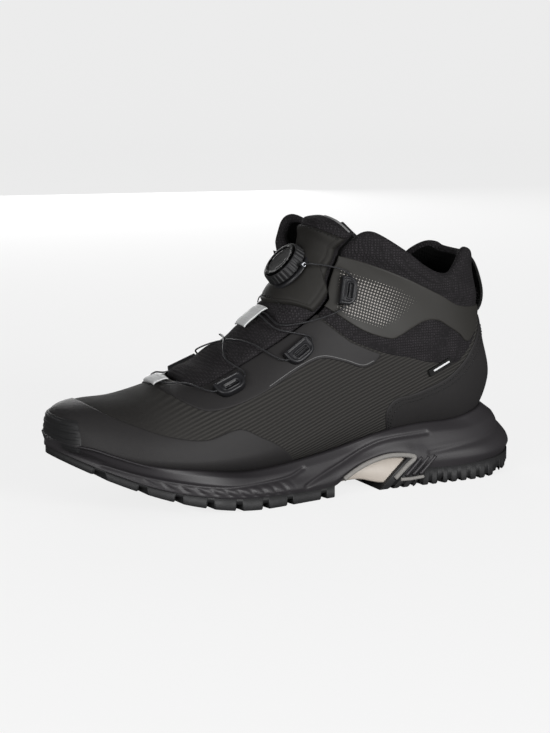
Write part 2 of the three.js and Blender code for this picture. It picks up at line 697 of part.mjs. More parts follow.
// One closed run of wire: dial, upper guide, middle guide across, lower guide across, lower
// keeper, and the same way back on the other side.
function lacePath() {
  const through = (spec, side) => [
    guidePlace(spec, side, spec.length / 2 + 1.5, -1.5, LACE_LEVEL),
    guidePlace(spec, side, 0, 0.5, LACE_LEVEL),
    guidePlace(spec, side, -spec.length / 2 - 1.5, -1.5, LACE_LEVEL),
  ];
  const half = (side, lift) => [
    dialPoint(4, side * 19.5, 1.4),
    dialPoint(6, side * 23, 0.6),
    ...through(GUIDES.upper, side),
    instepPoint(side * 23, 7.05, 5),
    instepPoint(side * 8, 6.95, 5.4 + lift),
    instepPoint(-side * 8, 6.85, 5.4 - lift),
    instepPoint(-side * 22, 6.9, 4),
    ...through(GUIDES.middle, -side),
    instepPoint(-side * 21, 6.3, 4.2),
    instepPoint(0, 6.05, 4.4 + lift),
    instepPoint(side * 21, 5.75, 4),
    ...through(GUIDES.lower, side),
    instepPoint(side * 24, 4.95, 3.4),
    instepPoint(side * 10, 4.66, 2.5),
  ];
  const points = [...half(LATERAL, 0.9), ...half(MEDIAL, -0.9).reverse()];
  return new THREE.CatmullRomCurve3(points, false, 'centripetal');
}

function wire(path, radius, segments, sides) {
  const ring = new THREE.Shape();
  ring.absarc(0, 0, radius, 0, 2 * Math.PI);
  return new THREE.ExtrudeGeometry(ring, {
    steps: segments, curveSegments: sides, extrudePath: path, bevelEnabled: false,
  });
}

const LACE_PATH = lacePath();

// A light ribbon across the ridge that holds the lace down: [station from, to], level, half width.
function keeper(from, to, level, half) {
  const ys = [-half, 0, half];
  const rings = [from, (from + to) / 2, to].map((v) => {
    const under = ys.map((y) => instepPoint(y, v, level)).reverse();
    return [...ys.map((y) => instepPoint(y, v, level + 0.9)), ...under];
  });
  return pairedLoft(rings, 5);
}

// ---------------------------------------------------------------- dial, in its own frame
const KNOB_R = 14.6;
const FACE_R = 12.2;
const KNOB_FOOT = 1.0;
const KNOB_TOP = 7.4;
const RATCHET_TEETH = 12;
const GRIP_RIBS = 16;

function lathe(profile, segments = 18) {
  const geometry = new THREE.LatheGeometry(profile.map(([r, z]) => new THREE.Vector2(r, z)), segments);
  geometry.rotateX(Math.PI / 2);
  return geometry;
}

function ring(inner, outer, z0, z1, segments = 18) {
  return lathe([[inner, z0], [outer, z0], [outer, z1], [inner, z1], [inner, z0]], segments);
}

function gear(points, z0, z1, holeRadius) {
  const shape = new THREE.Shape(points);
  if (holeRadius > 0) {
    const hole = new THREE.Path();
    hole.absarc(0, 0, holeRadius, 0, 2 * Math.PI, true);
    shape.holes.push(hole);
  }
  const settings = { depth: z1 - z0, bevelEnabled: false, curveSegments: 9 };
  const geometry = new THREE.ExtrudeGeometry(shape, settings);
  geometry.translate(0, 0, z0);
  return geometry;
}

function polar(count, radii) {
  const points = [];
  for (let k = 0; k < count; k += 1) {
    radii.forEach(([r, share]) => {
      const a = 2 * Math.PI * (k + share) / count;
      points.push(new THREE.Vector2(r * Math.cos(a), r * Math.sin(a)));
    });
  }
  return points;
}

function dialHousing() {
  const teeth = gear(polar(RATCHET_TEETH, [[11.3, 0], [10.8, 0.7]]), 0.1, 5, 0);
  return solid(disc(CUP_R, CUP_FLOOR, 3))
    .subtract(solid(disc(11.4, CUP_FLOOR + 1.2, 0.2)))
    .subtract(solid(teeth));
}

function spool() {
  return solid(lathe([[2, -4.9], [10.8, -4.9], [10.8, -4.1], [7, -4.1], [7, -1.2], [10.8, -1.2],
    [10.8, -0.4], [2, -0.4], [2, -4.9]]));
}

function pawlDisc() {
  const outline = polar(3, [[7.5, 0], [7.5, 0.2], [7.5, 0.4], [8.4, 0.5], [10.3, 0.66], [10.4, 0.7],
    [9.2, 0.72], [7.6, 0.75], [7.5, 0.88]]);
  return solid(gear(outline, -0.1, 1.3, 2));
}

function centreScrew() {
  return solid(lathe([[0, -5], [1.6, -5], [1.6, 5.7], [3.4, 5.7], [3.4, 6.6], [2.6, 6.9], [0, 6.9]], 20));
}

function knobCore() {
  return solid(lathe([[3.4, 1.6], [10.4, 1.6], [10.4, 3.4], [12.6, 3.4], [12.6, 7], [11.8, 7], [11.8, 4.3],
    [9.5, 4.3], [9.5, 2.5], [3.4, 2.5], [3.4, 1.6]]));
}

function knobGrip() {
  const ribs = polar(GRIP_RIBS, [[KNOB_R, 0], [KNOB_R, 0.5], [KNOB_R - 0.6, 0.6], [KNOB_R - 0.6, 0.9]]);
  return solid(gear(ribs, KNOB_FOOT, KNOB_TOP, 13));
}

function knobFace() {
  return solid(lathe([[0, 7.3], [FACE_R, 7.3], [FACE_R, 7.9], [11, 8.4], [0, 8.6]]));
}

function ferrule(side) {
  const tube = ring(0.95, 1.7, 0, 2.6, 14);
  tube.rotateX(-side * Math.PI / 2);
  tube.translate(4, side * 16.4, 1.4);
  return tube;
}

function ferruleRoom(side) {
  const room = disc(2.1, -1, 8, 14);
  room.rotateX(-side * Math.PI / 2);
  room.translate(4, side * 16.4, 1.4);
  return solid(room.applyMatrix4(dialFrame));
}

// ---------------------------------------------------------------- materials and assembly
const finish = (color, roughness, metalness = 0) => ({ color, roughness, metalness });
const FINISHES = {
  rubber: finish(0x1c1c1d, 0.75),
  foam: finish(0x2b2b2e, 0.6),
  shank: finish(0x9a948c, 0.5),
  shell: finish(0x242424, 0.85),
  film: finish(0x303033, 0.5),
  cuffFilm: finish(0x3a3836, 0.5),
  knit: finish(0x191919, 0.95),
  padding: finish(0x3c3c3c, 0.95),
  lining: finish(0x202020, 0.95),
  board: finish(0xa79c86, 0.9),
  stiffener: finish(0xb9b4a8, 0.8),
  panel: finish(0x2a2a2c, 0.55),
  ribbon: finish(0xb9bcbe, 0.45),
  webbing: finish(0x141414, 0.9),
  plastic: finish(0x2d2d30, 0.45),
  glossy: finish(0x0c0c0d, 0.15),
  steel: finish(0x8d8f92, 0.3, 1),
};

const boot = new THREE.Group();

function add(name, manifold, finishName, parent = boot) {
  const clean = manifold.asOriginal().simplify(CLEAN_UP);
  const mesh = new THREE.Mesh(geometryOf(clean), new THREE.MeshStandardMaterial(FINISHES[finishName]));
  mesh.name = name;
  parent.add(mesh);
}

add('outsole_forefoot', outsoleForefoot(), 'rubber');
add('outsole_heel', outsoleHeel(), 'rubber');
add('toe_bumper', toeBumper(), 'rubber');
add('shank_plate', shankPlate(), 'shank');
add('midsole', midsole(), 'foam');
add('lasting_board', lastingBoard(), 'board');
add('insole', insole(), 'padding');
add('upper_shell', upperShell(), 'shell');
add('lining', lining(), 'lining');
add('toe_puff', toePuff(), 'stiffener');
add('heel_counter', heelCounter(), 'stiffener');
add('toe_rand', toeRand(), 'film');
add('heel_overlay', heelOverlay(), 'film');
add('cuff_knit', cuffPiece(0, -SHELL_THICK), 'knit');
add('cuff_foam', cuffPiece(FOAM_OUT, FOAM_OUT - FOAM_THICK), 'padding');
add('cuff_lining', cuffPiece(CUFF_LINING_OUT, CUFF_LINING_IN), 'lining');
add('ankle_film', ankleFilm(), 'cuffFilm');
add('side_label', sideLabel(), 'webbing');
add('heel_pull_tab', pullTab(), 'webbing');

const laceRoom = solid(wire(LACE_PATH, LACE_R + 0.5, 90, 2));
[['lateral', LATERAL], ['medial', MEDIAL]].forEach(([word, side]) => {
  add(`eyestay_${word}`, eyestay(side), 'film');
  add(`gusset_${word}`, gusset(side), 'lining');
  Object.entries(GUIDES).forEach(([place, spec]) => {
    add(`guide_${place}_${word}`, guideBody(spec, side).subtract(laceRoom), 'plastic');
  });
});
add('lace_cable', solid(wire(LACE_PATH, LACE_R, 90, 2)), 'steel');
add('lace_keeper_lower', keeper(4.5, 4.78, 3.9, 8), 'ribbon');

const ferruleRooms = ferruleRoom(LATERAL).add(ferruleRoom(MEDIAL));
add('tongue_pad', tonguePad().subtract(ferruleRooms), 'knit');
add('tongue_panel', tonguePanel().subtract(ferruleRooms), 'panel');
add('lace_keeper_upper', keeper(6.45, 7.1, 7, 6.5), 'ribbon');

const dial = new THREE.Group();
dial.applyMatrix4(dialFrame);
boot.add(dial);
add('dial_flange', solid(ring(CUP_R + GAP, FLANGE_R, -1.3, -0.1)), 'plastic', dial);
add('dial_housing', dialHousing(), 'plastic', dial);
add('dial_screw', centreScrew(), 'steel', dial);
add('dial_ferrule_lateral', solid(ferrule(LATERAL)), 'steel', dial);
add('dial_ferrule_medial', solid(ferrule(MEDIAL)), 'steel', dial);
add('dial_bush', solid(ring(1.9, 3.1, 1.6, 2.5, 20)), 'steel', dial);
add('dial_spool', spool(), 'plastic', dial);
add('dial_pawl_disc', pawlDisc(), 'plastic', dial);
add('dial_knob_core', knobCore(), 'plastic', dial);
add('dial_knob_grip', knobGrip(), 'rubber', dial);
add('dial_knob_face', knobFace(), 'glossy', dial);

export default boot;
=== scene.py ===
"""Looks of a mid-cut hiking boot with dial lacing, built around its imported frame.

Lengths are in millimetres until a mesh is made, where they become metres. The toe points to
-X, the outer (lateral) side faces -Y and +Z is up, as in the frame.
"""
import math

import bmesh
import bpy
import numpy as np
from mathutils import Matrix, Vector


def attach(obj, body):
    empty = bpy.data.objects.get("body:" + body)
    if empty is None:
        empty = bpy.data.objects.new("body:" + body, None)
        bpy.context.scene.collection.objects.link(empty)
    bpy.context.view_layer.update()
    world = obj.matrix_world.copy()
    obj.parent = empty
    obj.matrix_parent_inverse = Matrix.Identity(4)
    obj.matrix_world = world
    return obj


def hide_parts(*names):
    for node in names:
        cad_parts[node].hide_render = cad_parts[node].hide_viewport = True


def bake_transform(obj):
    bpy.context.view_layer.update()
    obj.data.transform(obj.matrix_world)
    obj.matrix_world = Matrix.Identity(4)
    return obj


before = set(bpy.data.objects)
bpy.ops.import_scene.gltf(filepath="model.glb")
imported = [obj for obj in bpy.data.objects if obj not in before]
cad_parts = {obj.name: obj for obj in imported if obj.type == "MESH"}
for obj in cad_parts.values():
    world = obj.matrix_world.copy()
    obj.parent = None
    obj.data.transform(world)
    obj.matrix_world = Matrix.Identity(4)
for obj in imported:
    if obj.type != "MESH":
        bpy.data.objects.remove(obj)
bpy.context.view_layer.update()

MM = 0.001
LATERAL = -1
MEDIAL = 1
SIDES = (("lateral", LATERAL), ("medial", MEDIAL))
BOOT = "boot"
TONGUE = "tongue"
KNOB = "dial_knob"

# ------------------------------------------------------------------ driving dimensions, mm
FILM = 0.55                # bonded films stand this proud of the shell
SHELL = 1.4
LINING_OUT = -3.2
LINING_IN = -4.4
THROAT_HALF = 24.5
THROAT_FRONT = -187.0
LACE_R = 0.52
SOLE_WELL = 1.2
MIDSOLE_LIP = 1.7

# Slanted sections of the boot, toe to cuff: sole-side point, ridge point, half widths,
# height share of the widest line, sideways shift of the ridge and of the sole.
#    sole x   z   ridge x   z  lateral medial waist ridgeY soleY
STATIONS = np.array([
    [-259, 47, -259, 47, 0.1, 0.1, 0.5, 6, 6],
    [-258.5, 38, -258, 55, 15, 15, 0.5, 6, 6],
    [-255, 34, -252, 60.5, 27, 27, 0.37, 6, 5],
    [-244, 31, -238, 63, 38, 36, 0.3, 6, 4],
    [-222, 25, -215, 64.5, 47, 43, 0.27, 5, 0],
    [-190, 19, -182, 73.5, 51, 46, 0.26, 5, -2],
    [-155, 16, -150, 89, 50, 45, 0.26, 4, -2],
    [-118, 17, -124, 106, 45, 40, 0.28, 3, -1],
    [-75, 22, -106, 123, 40, 36, 0.32, 2, 0],
    [-30, 27, -98, 136, 37, 34, 0.4, 0, 0],
    [10, 32, -94, 145, 35, 33, 0.45, 0, 0],
    [26, 57, -92, 151, 35, 33, 0.5, 0, 0],
    [21, 85, -90, 157, 36, 35, 0.5, 0, 0],
    [16, 112, -89, 163, 37, 36, 0.5, 0, 0],
    [18, 145, -89, 171, 38, 37, 0.5, 0, 0]], float)
ROUNDNESS = 2 / 2.3
TOP_STATION = 14
STATION = 22.0             # length of one station in the tongue's own coordinate
GIRTH_UNIT = 45            # millimetres of skin for one radian, about
LENGTH_UNIT = 27           # millimetres of skin for one station, about

SOLE = [(43, 2), (36, -20), (14, -35), (-28, -38), (-70, -39), (-110, -46), (-150, -54),
        (-185, -55), (-216, -48), (-244, -31), (-262, -5), (-262, 16), (-244, 35), (-212, 47),
        (-177, 51), (-140, 47), (-100, 38), (-60, 34), (-20, 36), (14, 34), (36, 21)]

# Lines on the side view, (x, z), toe to heel.
BITE = [(-270, 43), (-251, 41), (-239, 37), (-220, 31), (-189, 26), (-164, 22), (-144, 22),
        (-122, 24), (-93, 28), (-66, 34), (-38, 37), (-10, 37), (5, 39), (30, 44), (50, 45)]
MIDSOLE_UNDER = [(-275, 42), (-262, 36.5), (-240, 27), (-216, 18), (-191, 12), (-159, 7.5),
                 (-127, 6), (-110, 6), (-99, 7), (-91, 11), (-80, 16), (-63, 20), (-49, 19),
                 (-40, 14), (-30, 10), (-8, 9.5), (20, 11), (50, 14)]
INSOLE_TOP = [(-270, 50), (-244, 41), (-222, 36), (-190, 30), (-155, 27), (-118, 29), (-75, 34),
              (-30, 39), (10, 44), (40, 46)]
RAND_LINE = [(-246, 64), (-236, 58), (-227, 54), (-207, 47), (-186, 44), (-169, 48), (-161, 48),
             (-151, 43), (-138, 36), (-118, 20)]
EYESTAY_LINE = [(-199, 74), (-197, 68), (-187, 61), (-177, 59), (-161, 62), (-141, 69),
                (-118, 80), (-104, 84), (-90, 81), (-78, 77), (-70, 79), (-64, 84)]
CUFF_SEAM = [(-106, 112), (-96, 103), (-85, 94), (-72, 88), (-58, 83), (-44, 80), (-30, 76),
             (-11, 74), (-3, 79), (6, 90), (14, 101), (40, 103)]
FILM_TOP = [(-100, 147), (-88, 144), (-74, 140), (-51, 131), (-24, 118), (-4, 109), (40, 107)]
FILM_FOOT = [(40, 105), (14, 104), (5, 92), (-2, 87), (-8, 92), (-16, 97), (-25, 102),
             (-34, 102), (-43, 98), (-51, 94), (-59, 93), (-78, 100), (-100, 116)]
HEEL_LINE = [(-54, 28), (-60, 43), (-60, 50), (-54, 56), (-40, 58), (-18, 65), (-5, 74),
             (1, 81), (8, 90), (14, 99), (17, 101), (40, 102)]
COLLAR = {
    LATERAL: [(-110, 150), (-92, 150), (-82, 157), (-74, 159.5), (-64, 156), (-46, 145),
              (-35, 137), (-24, 131.5), (-13, 131), (-3, 137), (6, 144), (12, 144), (17, 141), (40, 136)],
    MEDIAL: [(-110, 174), (-96, 176), (-84, 175), (-74, 170), (-60, 160), (-44, 147),
             (-32, 139), (-20, 134), (-10, 136), (-3, 140), (6, 144), (12, 144), (17, 141),
             (40, 136)]}
THROAT_WAIST = [(104, 24.5), (114, 24), (126, 21.5), (137, 18.8), (147, 19.5), (154, 24),
                (161, 28), (172, 34), (185, 40)]          # height, half width
DOT_FIELD = [(-85, 136), (-75, 131), (-63, 128), (-51, 123), (-39, 116), (-45, 110), (-52, 104),
             (-63, 100), (-71, 102), (-84, 107), (-91, 112)]
TOE_SPRING_FROM = -149
TOE_SPRING_LENGTH = 113
TOE_SPRING_RISE = 32


# ------------------------------------------------------------------ curves and fields
def spline(rows, t, closed=False):
    """Catmull-Rom through the rows at the positions t, counted in rows."""
    rows = np.asarray(rows, float)
    t = np.atleast_1d(np.asarray(t, float))
    count = len(rows)
    if closed:
        i = np.floor(t).astype(int)
        a, b, c, d = (rows[(i + k) % count] for k in (-1, 0, 1, 2))
    else:
        i = np.clip(np.floor(t).astype(int), 0, count - 2)
        padded = np.vstack([2 * rows[0] - rows[1], rows, 2 * rows[-1] - rows[-2]])
        a, b, c, d = (padded[i + k] for k in (0, 1, 2, 3))
    f = (t - i)[:, None]
    return 0.5 * (2 * b + (c - a) * f + (2 * a - 5 * b + 4 * c - d) * f ** 2
                  + (3 * b - a - 3 * c + d) * f ** 3)


def fine(line, per_span=8):
    count = len(line)
    return spline(line, np.linspace(0, count - 1, (count - 1) * per_span + 1))


def height(line, x):
    """Smooth height of a side line at x."""
    curve = fine(line)
    return np.interp(x, curve[:, 0], curve[:, 1])


def evenly(points, count):
    """The same line with its points evenly spaced."""
    steps = np.linalg.norm(np.diff(points, axis=0), axis=1)
    along = np.concatenate([[0], np.cumsum(steps)])
    at = np.linspace(0, along[-1], count)
    return np.stack([np.interp(at, along, points[:, k]) for k in range(points.shape[1])], 1)


def distance_to(line, points):
    """Distance from 2-D points to a polyline."""
    best = np.full(len(points), 1e9)
    for a, b in zip(line[:-1], line[1:]):
        run = b - a
        share = np.clip(((points - a) @ run) / max(run @ run, 1e-9), 0, 1)
        gap = points - a - share[:, None] * run
        best = np.minimum(best, np.hypot(gap[:, 0], gap[:, 1]))
    return best


def inside(outline, points):
    """Signed distance to a closed outline, positive inside."""
    loop = np.vstack([outline, outline[:1]])
    within = np.zeros(len(points), bool)
    for (x0, z0), (x1, z1) in zip(loop[:-1], loop[1:]):
        crosses = (z0 > points[:, 1]) != (z1 > points[:, 1])
        with np.errstate(divide="ignore", invalid="ignore"):
            hit = points[:, 0] < (x1 - x0) * (points[:, 1] - z0) / (z1 - z0) + x0
        within ^= crosses & hit
    gap = distance_to(loop, points)
    return np.where(within, gap, -gap)


def side_view(p):
    return p[:, [0, 2]]


def ramp(x, a, b):
    t = np.clip((x - a) / (b - a), 0, 1)
    return t * t * (3 - 2 * t)


def bump(x, width):
    return np.exp(-(x / width) ** 2)


def edge(d, radius):
    """A quarter-round: 0 on the edge, 1 from the radius inwards."""
    t = np.clip(d / radius, 0, 1)
    return np.sqrt(1 - (1 - t) ** 2)


# ------------------------------------------------------------------ the boot's surface
def last(u, v):
    """Surface points; u runs round a section from the ridge over the lateral side."""
    u, v = np.broadcast_arrays(np.asarray(u, float), np.asarray(v, float))
    shape = u.shape
    u, v = u.ravel(), v.ravel()
    s = spline(STATIONS, v)
    c, sn = np.cos(u), np.sin(u)
    reach = np.abs(c) ** ROUNDNESS
    up = np.where(c >= 0, s[:, 6] + (1 - s[:, 6]) * reach, s[:, 6] * (1 - reach))
    wide = np.where(sn >= 0, -s[:, 4], s[:, 5])
    y = wide * np.abs(sn) ** ROUNDNESS + s[:, 8] * (1 - up) + s[:, 7] * up
    x = s[:, 0] * (1 - up) + s[:, 2] * up
    z = s[:, 1] * (1 - up) + s[:, 3] * up
    return np.stack([x, y, z], 1).reshape(shape + (3,))


def last_normal(u, v):
    step = 0.02
    along_u = last(u + step, v) - last(u - step, v)
    along_v = last(u, np.minimum(v + step, TOP_STATION)) - last(u, v - step)
    n = np.cross(along_u, along_v)
    return n / np.maximum(np.linalg.norm(n, axis=-1, keepdims=True), 1e-9)


def instep_turn(y, v):
    """The u of the surface point at sideways distance y from the ridge."""
    row = spline(STATIONS, np.ravel(v))
    wide = np.where(np.ravel(y) < 0, row[:, 4], row[:, 5])
    turn = np.arcsin(np.minimum(np.abs(np.ravel(y)) / wide, 1) ** (1 / ROUNDNESS))
    return np.where(np.ravel(y) < 0, turn, -turn).reshape(np.shape(y))


def locate(line, side):
    """The (u, v) of surface points seen at the side positions (x, z)."""
    line = np.asarray(line, float)
    i, j = np.meshgrid(np.linspace(0.05, 3.08, 160), np.linspace(0.1, 14, 280), indexing="ij")
    u0, v0 = (-side * i).ravel(), j.ravel()
    guess = last(u0, v0)
    nearest = [np.argmin((guess[:, 0] - x) ** 2 + (guess[:, 2] - z) ** 2) for x, z in line]
    u, v = u0[nearest], v0[nearest]
    for _ in range(6):
        here = last(u, v)
        du = (last(u + 0.01, v) - here) / 0.01
        dv = (last(u, v + 0.01) - here) / 0.01
        ex, ez = line[:, 0] - here[:, 0], line[:, 1] - here[:, 2]
        det = du[:, 0] * dv[:, 2] - du[:, 2] * dv[:, 0]
        det = np.where(np.abs(det) < 20, np.sign(det + 1e-9) * 20, det)
        u = u + 0.6 * np.clip((ex * dv[:, 2] - ez * dv[:, 0]) / det, -0.1, 0.1)
        v = v + 0.6 * np.clip((ez * du[:, 0] - ex * du[:, 2]) / det, -0.2, 0.2)
    return u, v


def toe_spring(x):
    f = np.clip((TOE_SPRING_FROM - x) / TOE_SPRING_LENGTH, 0, 1.2)
    return TOE_SPRING_RISE * f ** 1.8


def throat(p, grow=0.0):
    """Signed distance into the lace opening, positive inside it."""
    x, y, z = p.T
    front = THROAT_FRONT - grow
    nose = np.clip((front + 16 - x) / 16, 0, 1)
    half = (THROAT_HALF + grow) * (1 - nose ** 2.4) ** (1 / 2.4)
    slot = np.where((x > front) & (x < -94) & (z > 50), half - np.abs(y), -60)
    slot = np.minimum(slot, np.where(z > 50, x - front, -60))
    waist = np.interp(z, [h for h, _ in THROAT_WAIST], [w for _, w in THROAT_WAIST]) + grow
    gate = np.where((x < -58) & (z > 104), waist - np.abs(y), -60)
    return np.maximum(slot, gate)


# ------------------------------------------------------------------ meshes
def surface(u, v, s, t):
    """Rows of surface columns: x y z, nx ny nz and two coordinates in millimetres."""
    return np.column_stack([last(u, v).reshape(-1, 3), last_normal(u, v).reshape(-1, 3),
                            s.ravel(), t.ravel()])


def grid_triangles(shape):
    """Two triangles for every square of a grid of points."""
    rows, columns = shape
    a = (np.arange(rows - 1)[:, None] * columns + np.arange(columns - 1)[None, :]).ravel()
    return np.vstack([np.stack([a, a + 1, a + columns], 1),
                      np.stack([a + 1, a + columns + 1, a + columns], 1)])


def flipped(tris):
    return tris[:, [0, 2, 1]]


def skin_grid(around, along):
    """The whole surface and its triangles."""
    u, v = np.meshgrid(np.arange(around) * 2 * np.pi / around, np.linspace(0.01, TOP_STATION, along))
    s = np.where(u > np.pi, u - 2 * np.pi, u) * GIRTH_UNIT
    r = np.arange(along - 1)[:, None] * around
    k = np.arange(around)[None, :]
    a, b = (r + k).ravel(), (r + (k + 1) % around).ravel()
    tris = np.vstack([np.stack([a, b, a + around], 1), np.stack([b, b + around, a + around], 1)])
    return surface(u, v, s, v * LENGTH_UNIT), tris


def instep_grid(half, across, low, high, along):
    """A strip of the surface either side of the ridge, between two stations."""
    y, v = np.meshgrid(np.linspace(-half, half, across), np.linspace(low, high, along))
    return surface(instep_turn(y, v), v, y, v * STATION), flipped(grid_triangles(y.shape))


def split(data, tris, column, level):
    """Cuts every triangle that a level of the column crosses, along that level."""
    f = data[:, column] - level
    f = np.where(np.abs(f) < 1e-6, 1e-6, f)
    side = f > 0
    count = side[tris].sum(1)
    mixed = (count == 1) | (count == 2)
    cut = tris[mixed]
    if len(cut) == 0:
        return data, tris
    odd = side[cut] == (count[mixed] == 1)[:, None]
    first = odd.argmax(1)
    row = np.arange(len(cut))
    a, b, c = (cut[row, (first + k) % 3] for k in (0, 1, 2))
    pairs = np.sort(np.vstack([np.stack([a, b], 1), np.stack([a, c], 1)]), 1)
    unique, inverse = np.unique(pairs, axis=0, return_inverse=True)
    inverse = inverse.ravel()
    f0, f1 = f[unique[:, 0]], f[unique[:, 1]]
    share = (f0 / (f0 - f1))[:, None]
    fresh = data[unique[:, 0]] * (1 - share) + data[unique[:, 1]] * share
    ab, ac = len(data) + inverse[:len(cut)], len(data) + inverse[len(cut):]
    pieces = [tris[~mixed], np.stack([a, ab, ac], 1), np.stack([ab, b, c], 1), np.stack([ab, c, ac], 1)]
    return np.vstack([data, fresh]), np.vstack(pieces)


def rim(tris):
    """The edges that only one triangle uses, in that triangle's direction."""
    edges = np.vstack([tris[:, [0, 1]], tris[:, [1, 2]], tris[:, [2, 0]]])
    _, inverse, counts = np.unique(np.sort(edges, 1), axis=0, return_inverse=True, return_counts=True)
    return edges[counts[inverse.ravel()] == 1]


def bands(rows, count, start=0):
    """The quads between closed rings of count points, one ring after another."""
    return [(start + r * count + k, start + r * count + (k + 1) % count,
             start + (r + 1) * count + (k + 1) % count, start + (r + 1) * count + k)
            for r in range(rows - 1) for k in range(count)]


def caps(rows, count, start=0):
    """The flat ends of such a stack."""
    end = start + rows * count
    return [tuple(range(start, start + count))[::-1], tuple(range(end - count, end))]


def added(name, data):
    """A new object in the scene."""
    obj = bpy.data.objects.new(name, data)
    bpy.context.scene.collection.objects.link(obj)
    return obj


def piece(name, points, faces, material, nodes="", body=BOOT, uv=None, marks=None, merge=0.03):
    """A mesh object from millimetre points; marks are named numbers kept at each point.

    nodes are the CAD nodes that it replaces.
    """
    mesh = bpy.data.meshes.new(name)
    mesh.from_pydata((np.asarray(points) * MM).tolist(), [], [list(map(int, f)) for f in faces])
    if uv is not None:
        layer = mesh.uv_layers.new(name="UVMap")
        index = np.empty(len(mesh.loops), int)
        mesh.loops.foreach_get("vertex_index", index)
        layer.data.foreach_set("uv", np.asarray(uv, float)[index].ravel())
    for key, values in (marks or {}).items():
        attribute = mesh.attributes.new(key, "FLOAT", "POINT")
        attribute.data.foreach_set("value", np.asarray(values, float))
    mesh.polygons.foreach_set("use_smooth", [True] * len(mesh.polygons))
    obj = added(name, mesh)
    if merge:
        merge_points(obj, merge)
    mesh.materials.append(material)
    if body:
        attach(obj, body)
    if nodes:
        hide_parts(*nodes.split())
    return obj


def merge_points(obj, distance):
    bm = bmesh.new()
    bm.from_mesh(obj.data)
    bmesh.ops.remove_doubles(bm, verts=bm.verts, dist=distance * MM)
    bmesh.ops.dissolve_degenerate(bm, dist=0.001 * MM, edges=bm.edges)
    bm.to_mesh(obj.data)
    bm.free()


def sheet(name, base, fields, top, bottom, material, nodes="", body=BOOT, levels=(), marks=None,
          merge=0.03, reshape=None):
    """A closed piece over the part of the base surface where every field is positive.

    fields are signed distances from the piece's edges; top and bottom turn them into heights
    over the base; levels are distances where the mesh gets its own lines; reshape moves the
    finished points.
    """
    data, tris = base
    columns = [field(data[:, :3], data[:, 6:8]) for field in fields]
    data = np.column_stack([data, *columns])
    worst = np.min(columns, axis=0)
    tris = tris[(worst[tris] > -8).any(1)]
    for column in range(8, data.shape[1]):
        data, tris = split(data, tris, column, 0.0)
        tris = tris[data[tris, column].mean(1) > 0]
        for level in levels:
            data, tris = split(data, tris, column, level)
    used, tris = np.unique(tris, return_inverse=True)
    tris = tris.reshape(-1, 3)
    data = data[used]
    p, n, st = data[:, :3], data[:, 3:6], data[:, 6:8]
    n = n / np.linalg.norm(n, axis=1, keepdims=True)
    d = np.maximum(data[:, 8:], 0).T
    count = len(p)
    upper = p + n * np.broadcast_to(top(p, st, *d), count)[:, None]
    lower = p + n * np.broadcast_to(bottom(p, st, *d), count)[:, None]
    faces = [*tris, *(tris[:, ::-1] + count)]
    faces += [(b, a, a + count, b + count) for a, b in rim(tris)]
    kept = {key: np.tile(mark(p, st), 2) for key, mark in (marks or {}).items()}
    points = np.vstack([upper, lower])
    if reshape:
        points = reshape(points)
    return piece(name, points, faces, material, nodes, body, np.vstack([st, st]), kept, merge)


def centripetal(points, per_span):
    """A smooth line through points that keeps its loops tight."""
    p = np.vstack([2 * points[0] - points[1], points, 2 * points[-1] - points[-2]])
    gaps = np.sqrt(np.linalg.norm(np.diff(p, axis=0), axis=1))
    out = []
    for i in range(1, len(p) - 2):
        t0, t1 = 0.0, gaps[i - 1]
        t2, t3 = t1 + gaps[i], t1 + gaps[i] + gaps[i + 1]
        t = np.linspace(t1, t2, per_span, endpoint=False)[:, None]
        a1 = (t1 - t) / (t1 - t0) * p[i - 1] + (t - t0) / (t1 - t0) * p[i]
        a2 = (t2 - t) / (t2 - t1) * p[i] + (t - t1) / (t2 - t1) * p[i + 1]
        a3 = (t3 - t) / (t3 - t2) * p[i + 1] + (t - t2) / (t3 - t2) * p[i + 2]
        b1 = (t2 - t) / (t2 - t0) * a1 + (t - t0) / (t2 - t0) * a2
        b2 = (t3 - t) / (t3 - t1) * a2 + (t - t1) / (t3 - t1) * a3
        out.append((t2 - t) / (t2 - t1) * b1 + (t - t1) / (t2 - t1) * b2)
    return np.vstack([*out, points[-1:]])


def tube(name, path, radius, material, nodes="", body=BOOT, sides=10):
    """A round rod along a path, with its length and girth as surface coordinates."""
    path = np.asarray(path, float)
    run = np.gradient(path, axis=0)
    run /= np.linalg.norm(run, axis=1, keepdims=True)
    up = np.array([0.3, 0.2, 1.0])
    rings, uv = [], []
    along = np.concatenate([[0], np.cumsum(np.linalg.norm(np.diff(path, axis=0), axis=1))])
    for point, direction, s in zip(path, run, along):
        up = up - direction * (up @ direction)
        up = up / np.linalg.norm(up)
        side = np.cross(direction, up)
        turn = 2 * np.pi * np.arange(sides) / sides
        rings.append(point + radius * (np.cos(turn)[:, None] * up + np.sin(turn)[:, None] * side))
        uv.append(np.column_stack([np.full(sides, s), turn / (2 * np.pi) * 2.4]))
    count = len(path)
    faces = bands(count, sides) + caps(count, sides)
    return piece(name, np.vstack(rings), faces, material, nodes, body, np.vstack(uv), merge=0)


def pad(line, reach=40):
    """A fine side line whose ends run on level."""
    curve = fine(line)
    return np.vstack([curve[:1] - [reach, 0], curve, curve[-1:] + [reach, 0]])


def field_below(line, shift=0.0):
    curve = pad(line) + [0, shift]

    def field(p, st):
        gap = distance_to(curve, side_view(p))
        return np.where(p[:, 2] < np.interp(p[:, 0], curve[:, 0], curve[:, 1]), gap, -gap)
    return field


def field_above(line, shift=0.0):
    lower = field_below(line, shift)
    return lambda p, st: -lower(p, st)


def field_inside(outline):
    return lambda p, st: inside(np.asarray(outline, float), side_view(p))


def field_side(side, from_y):
    return lambda p, st: side * p[:, 1] - from_y


def outside_throat(grow=0.0):
    return lambda p, st: -throat(p, grow)


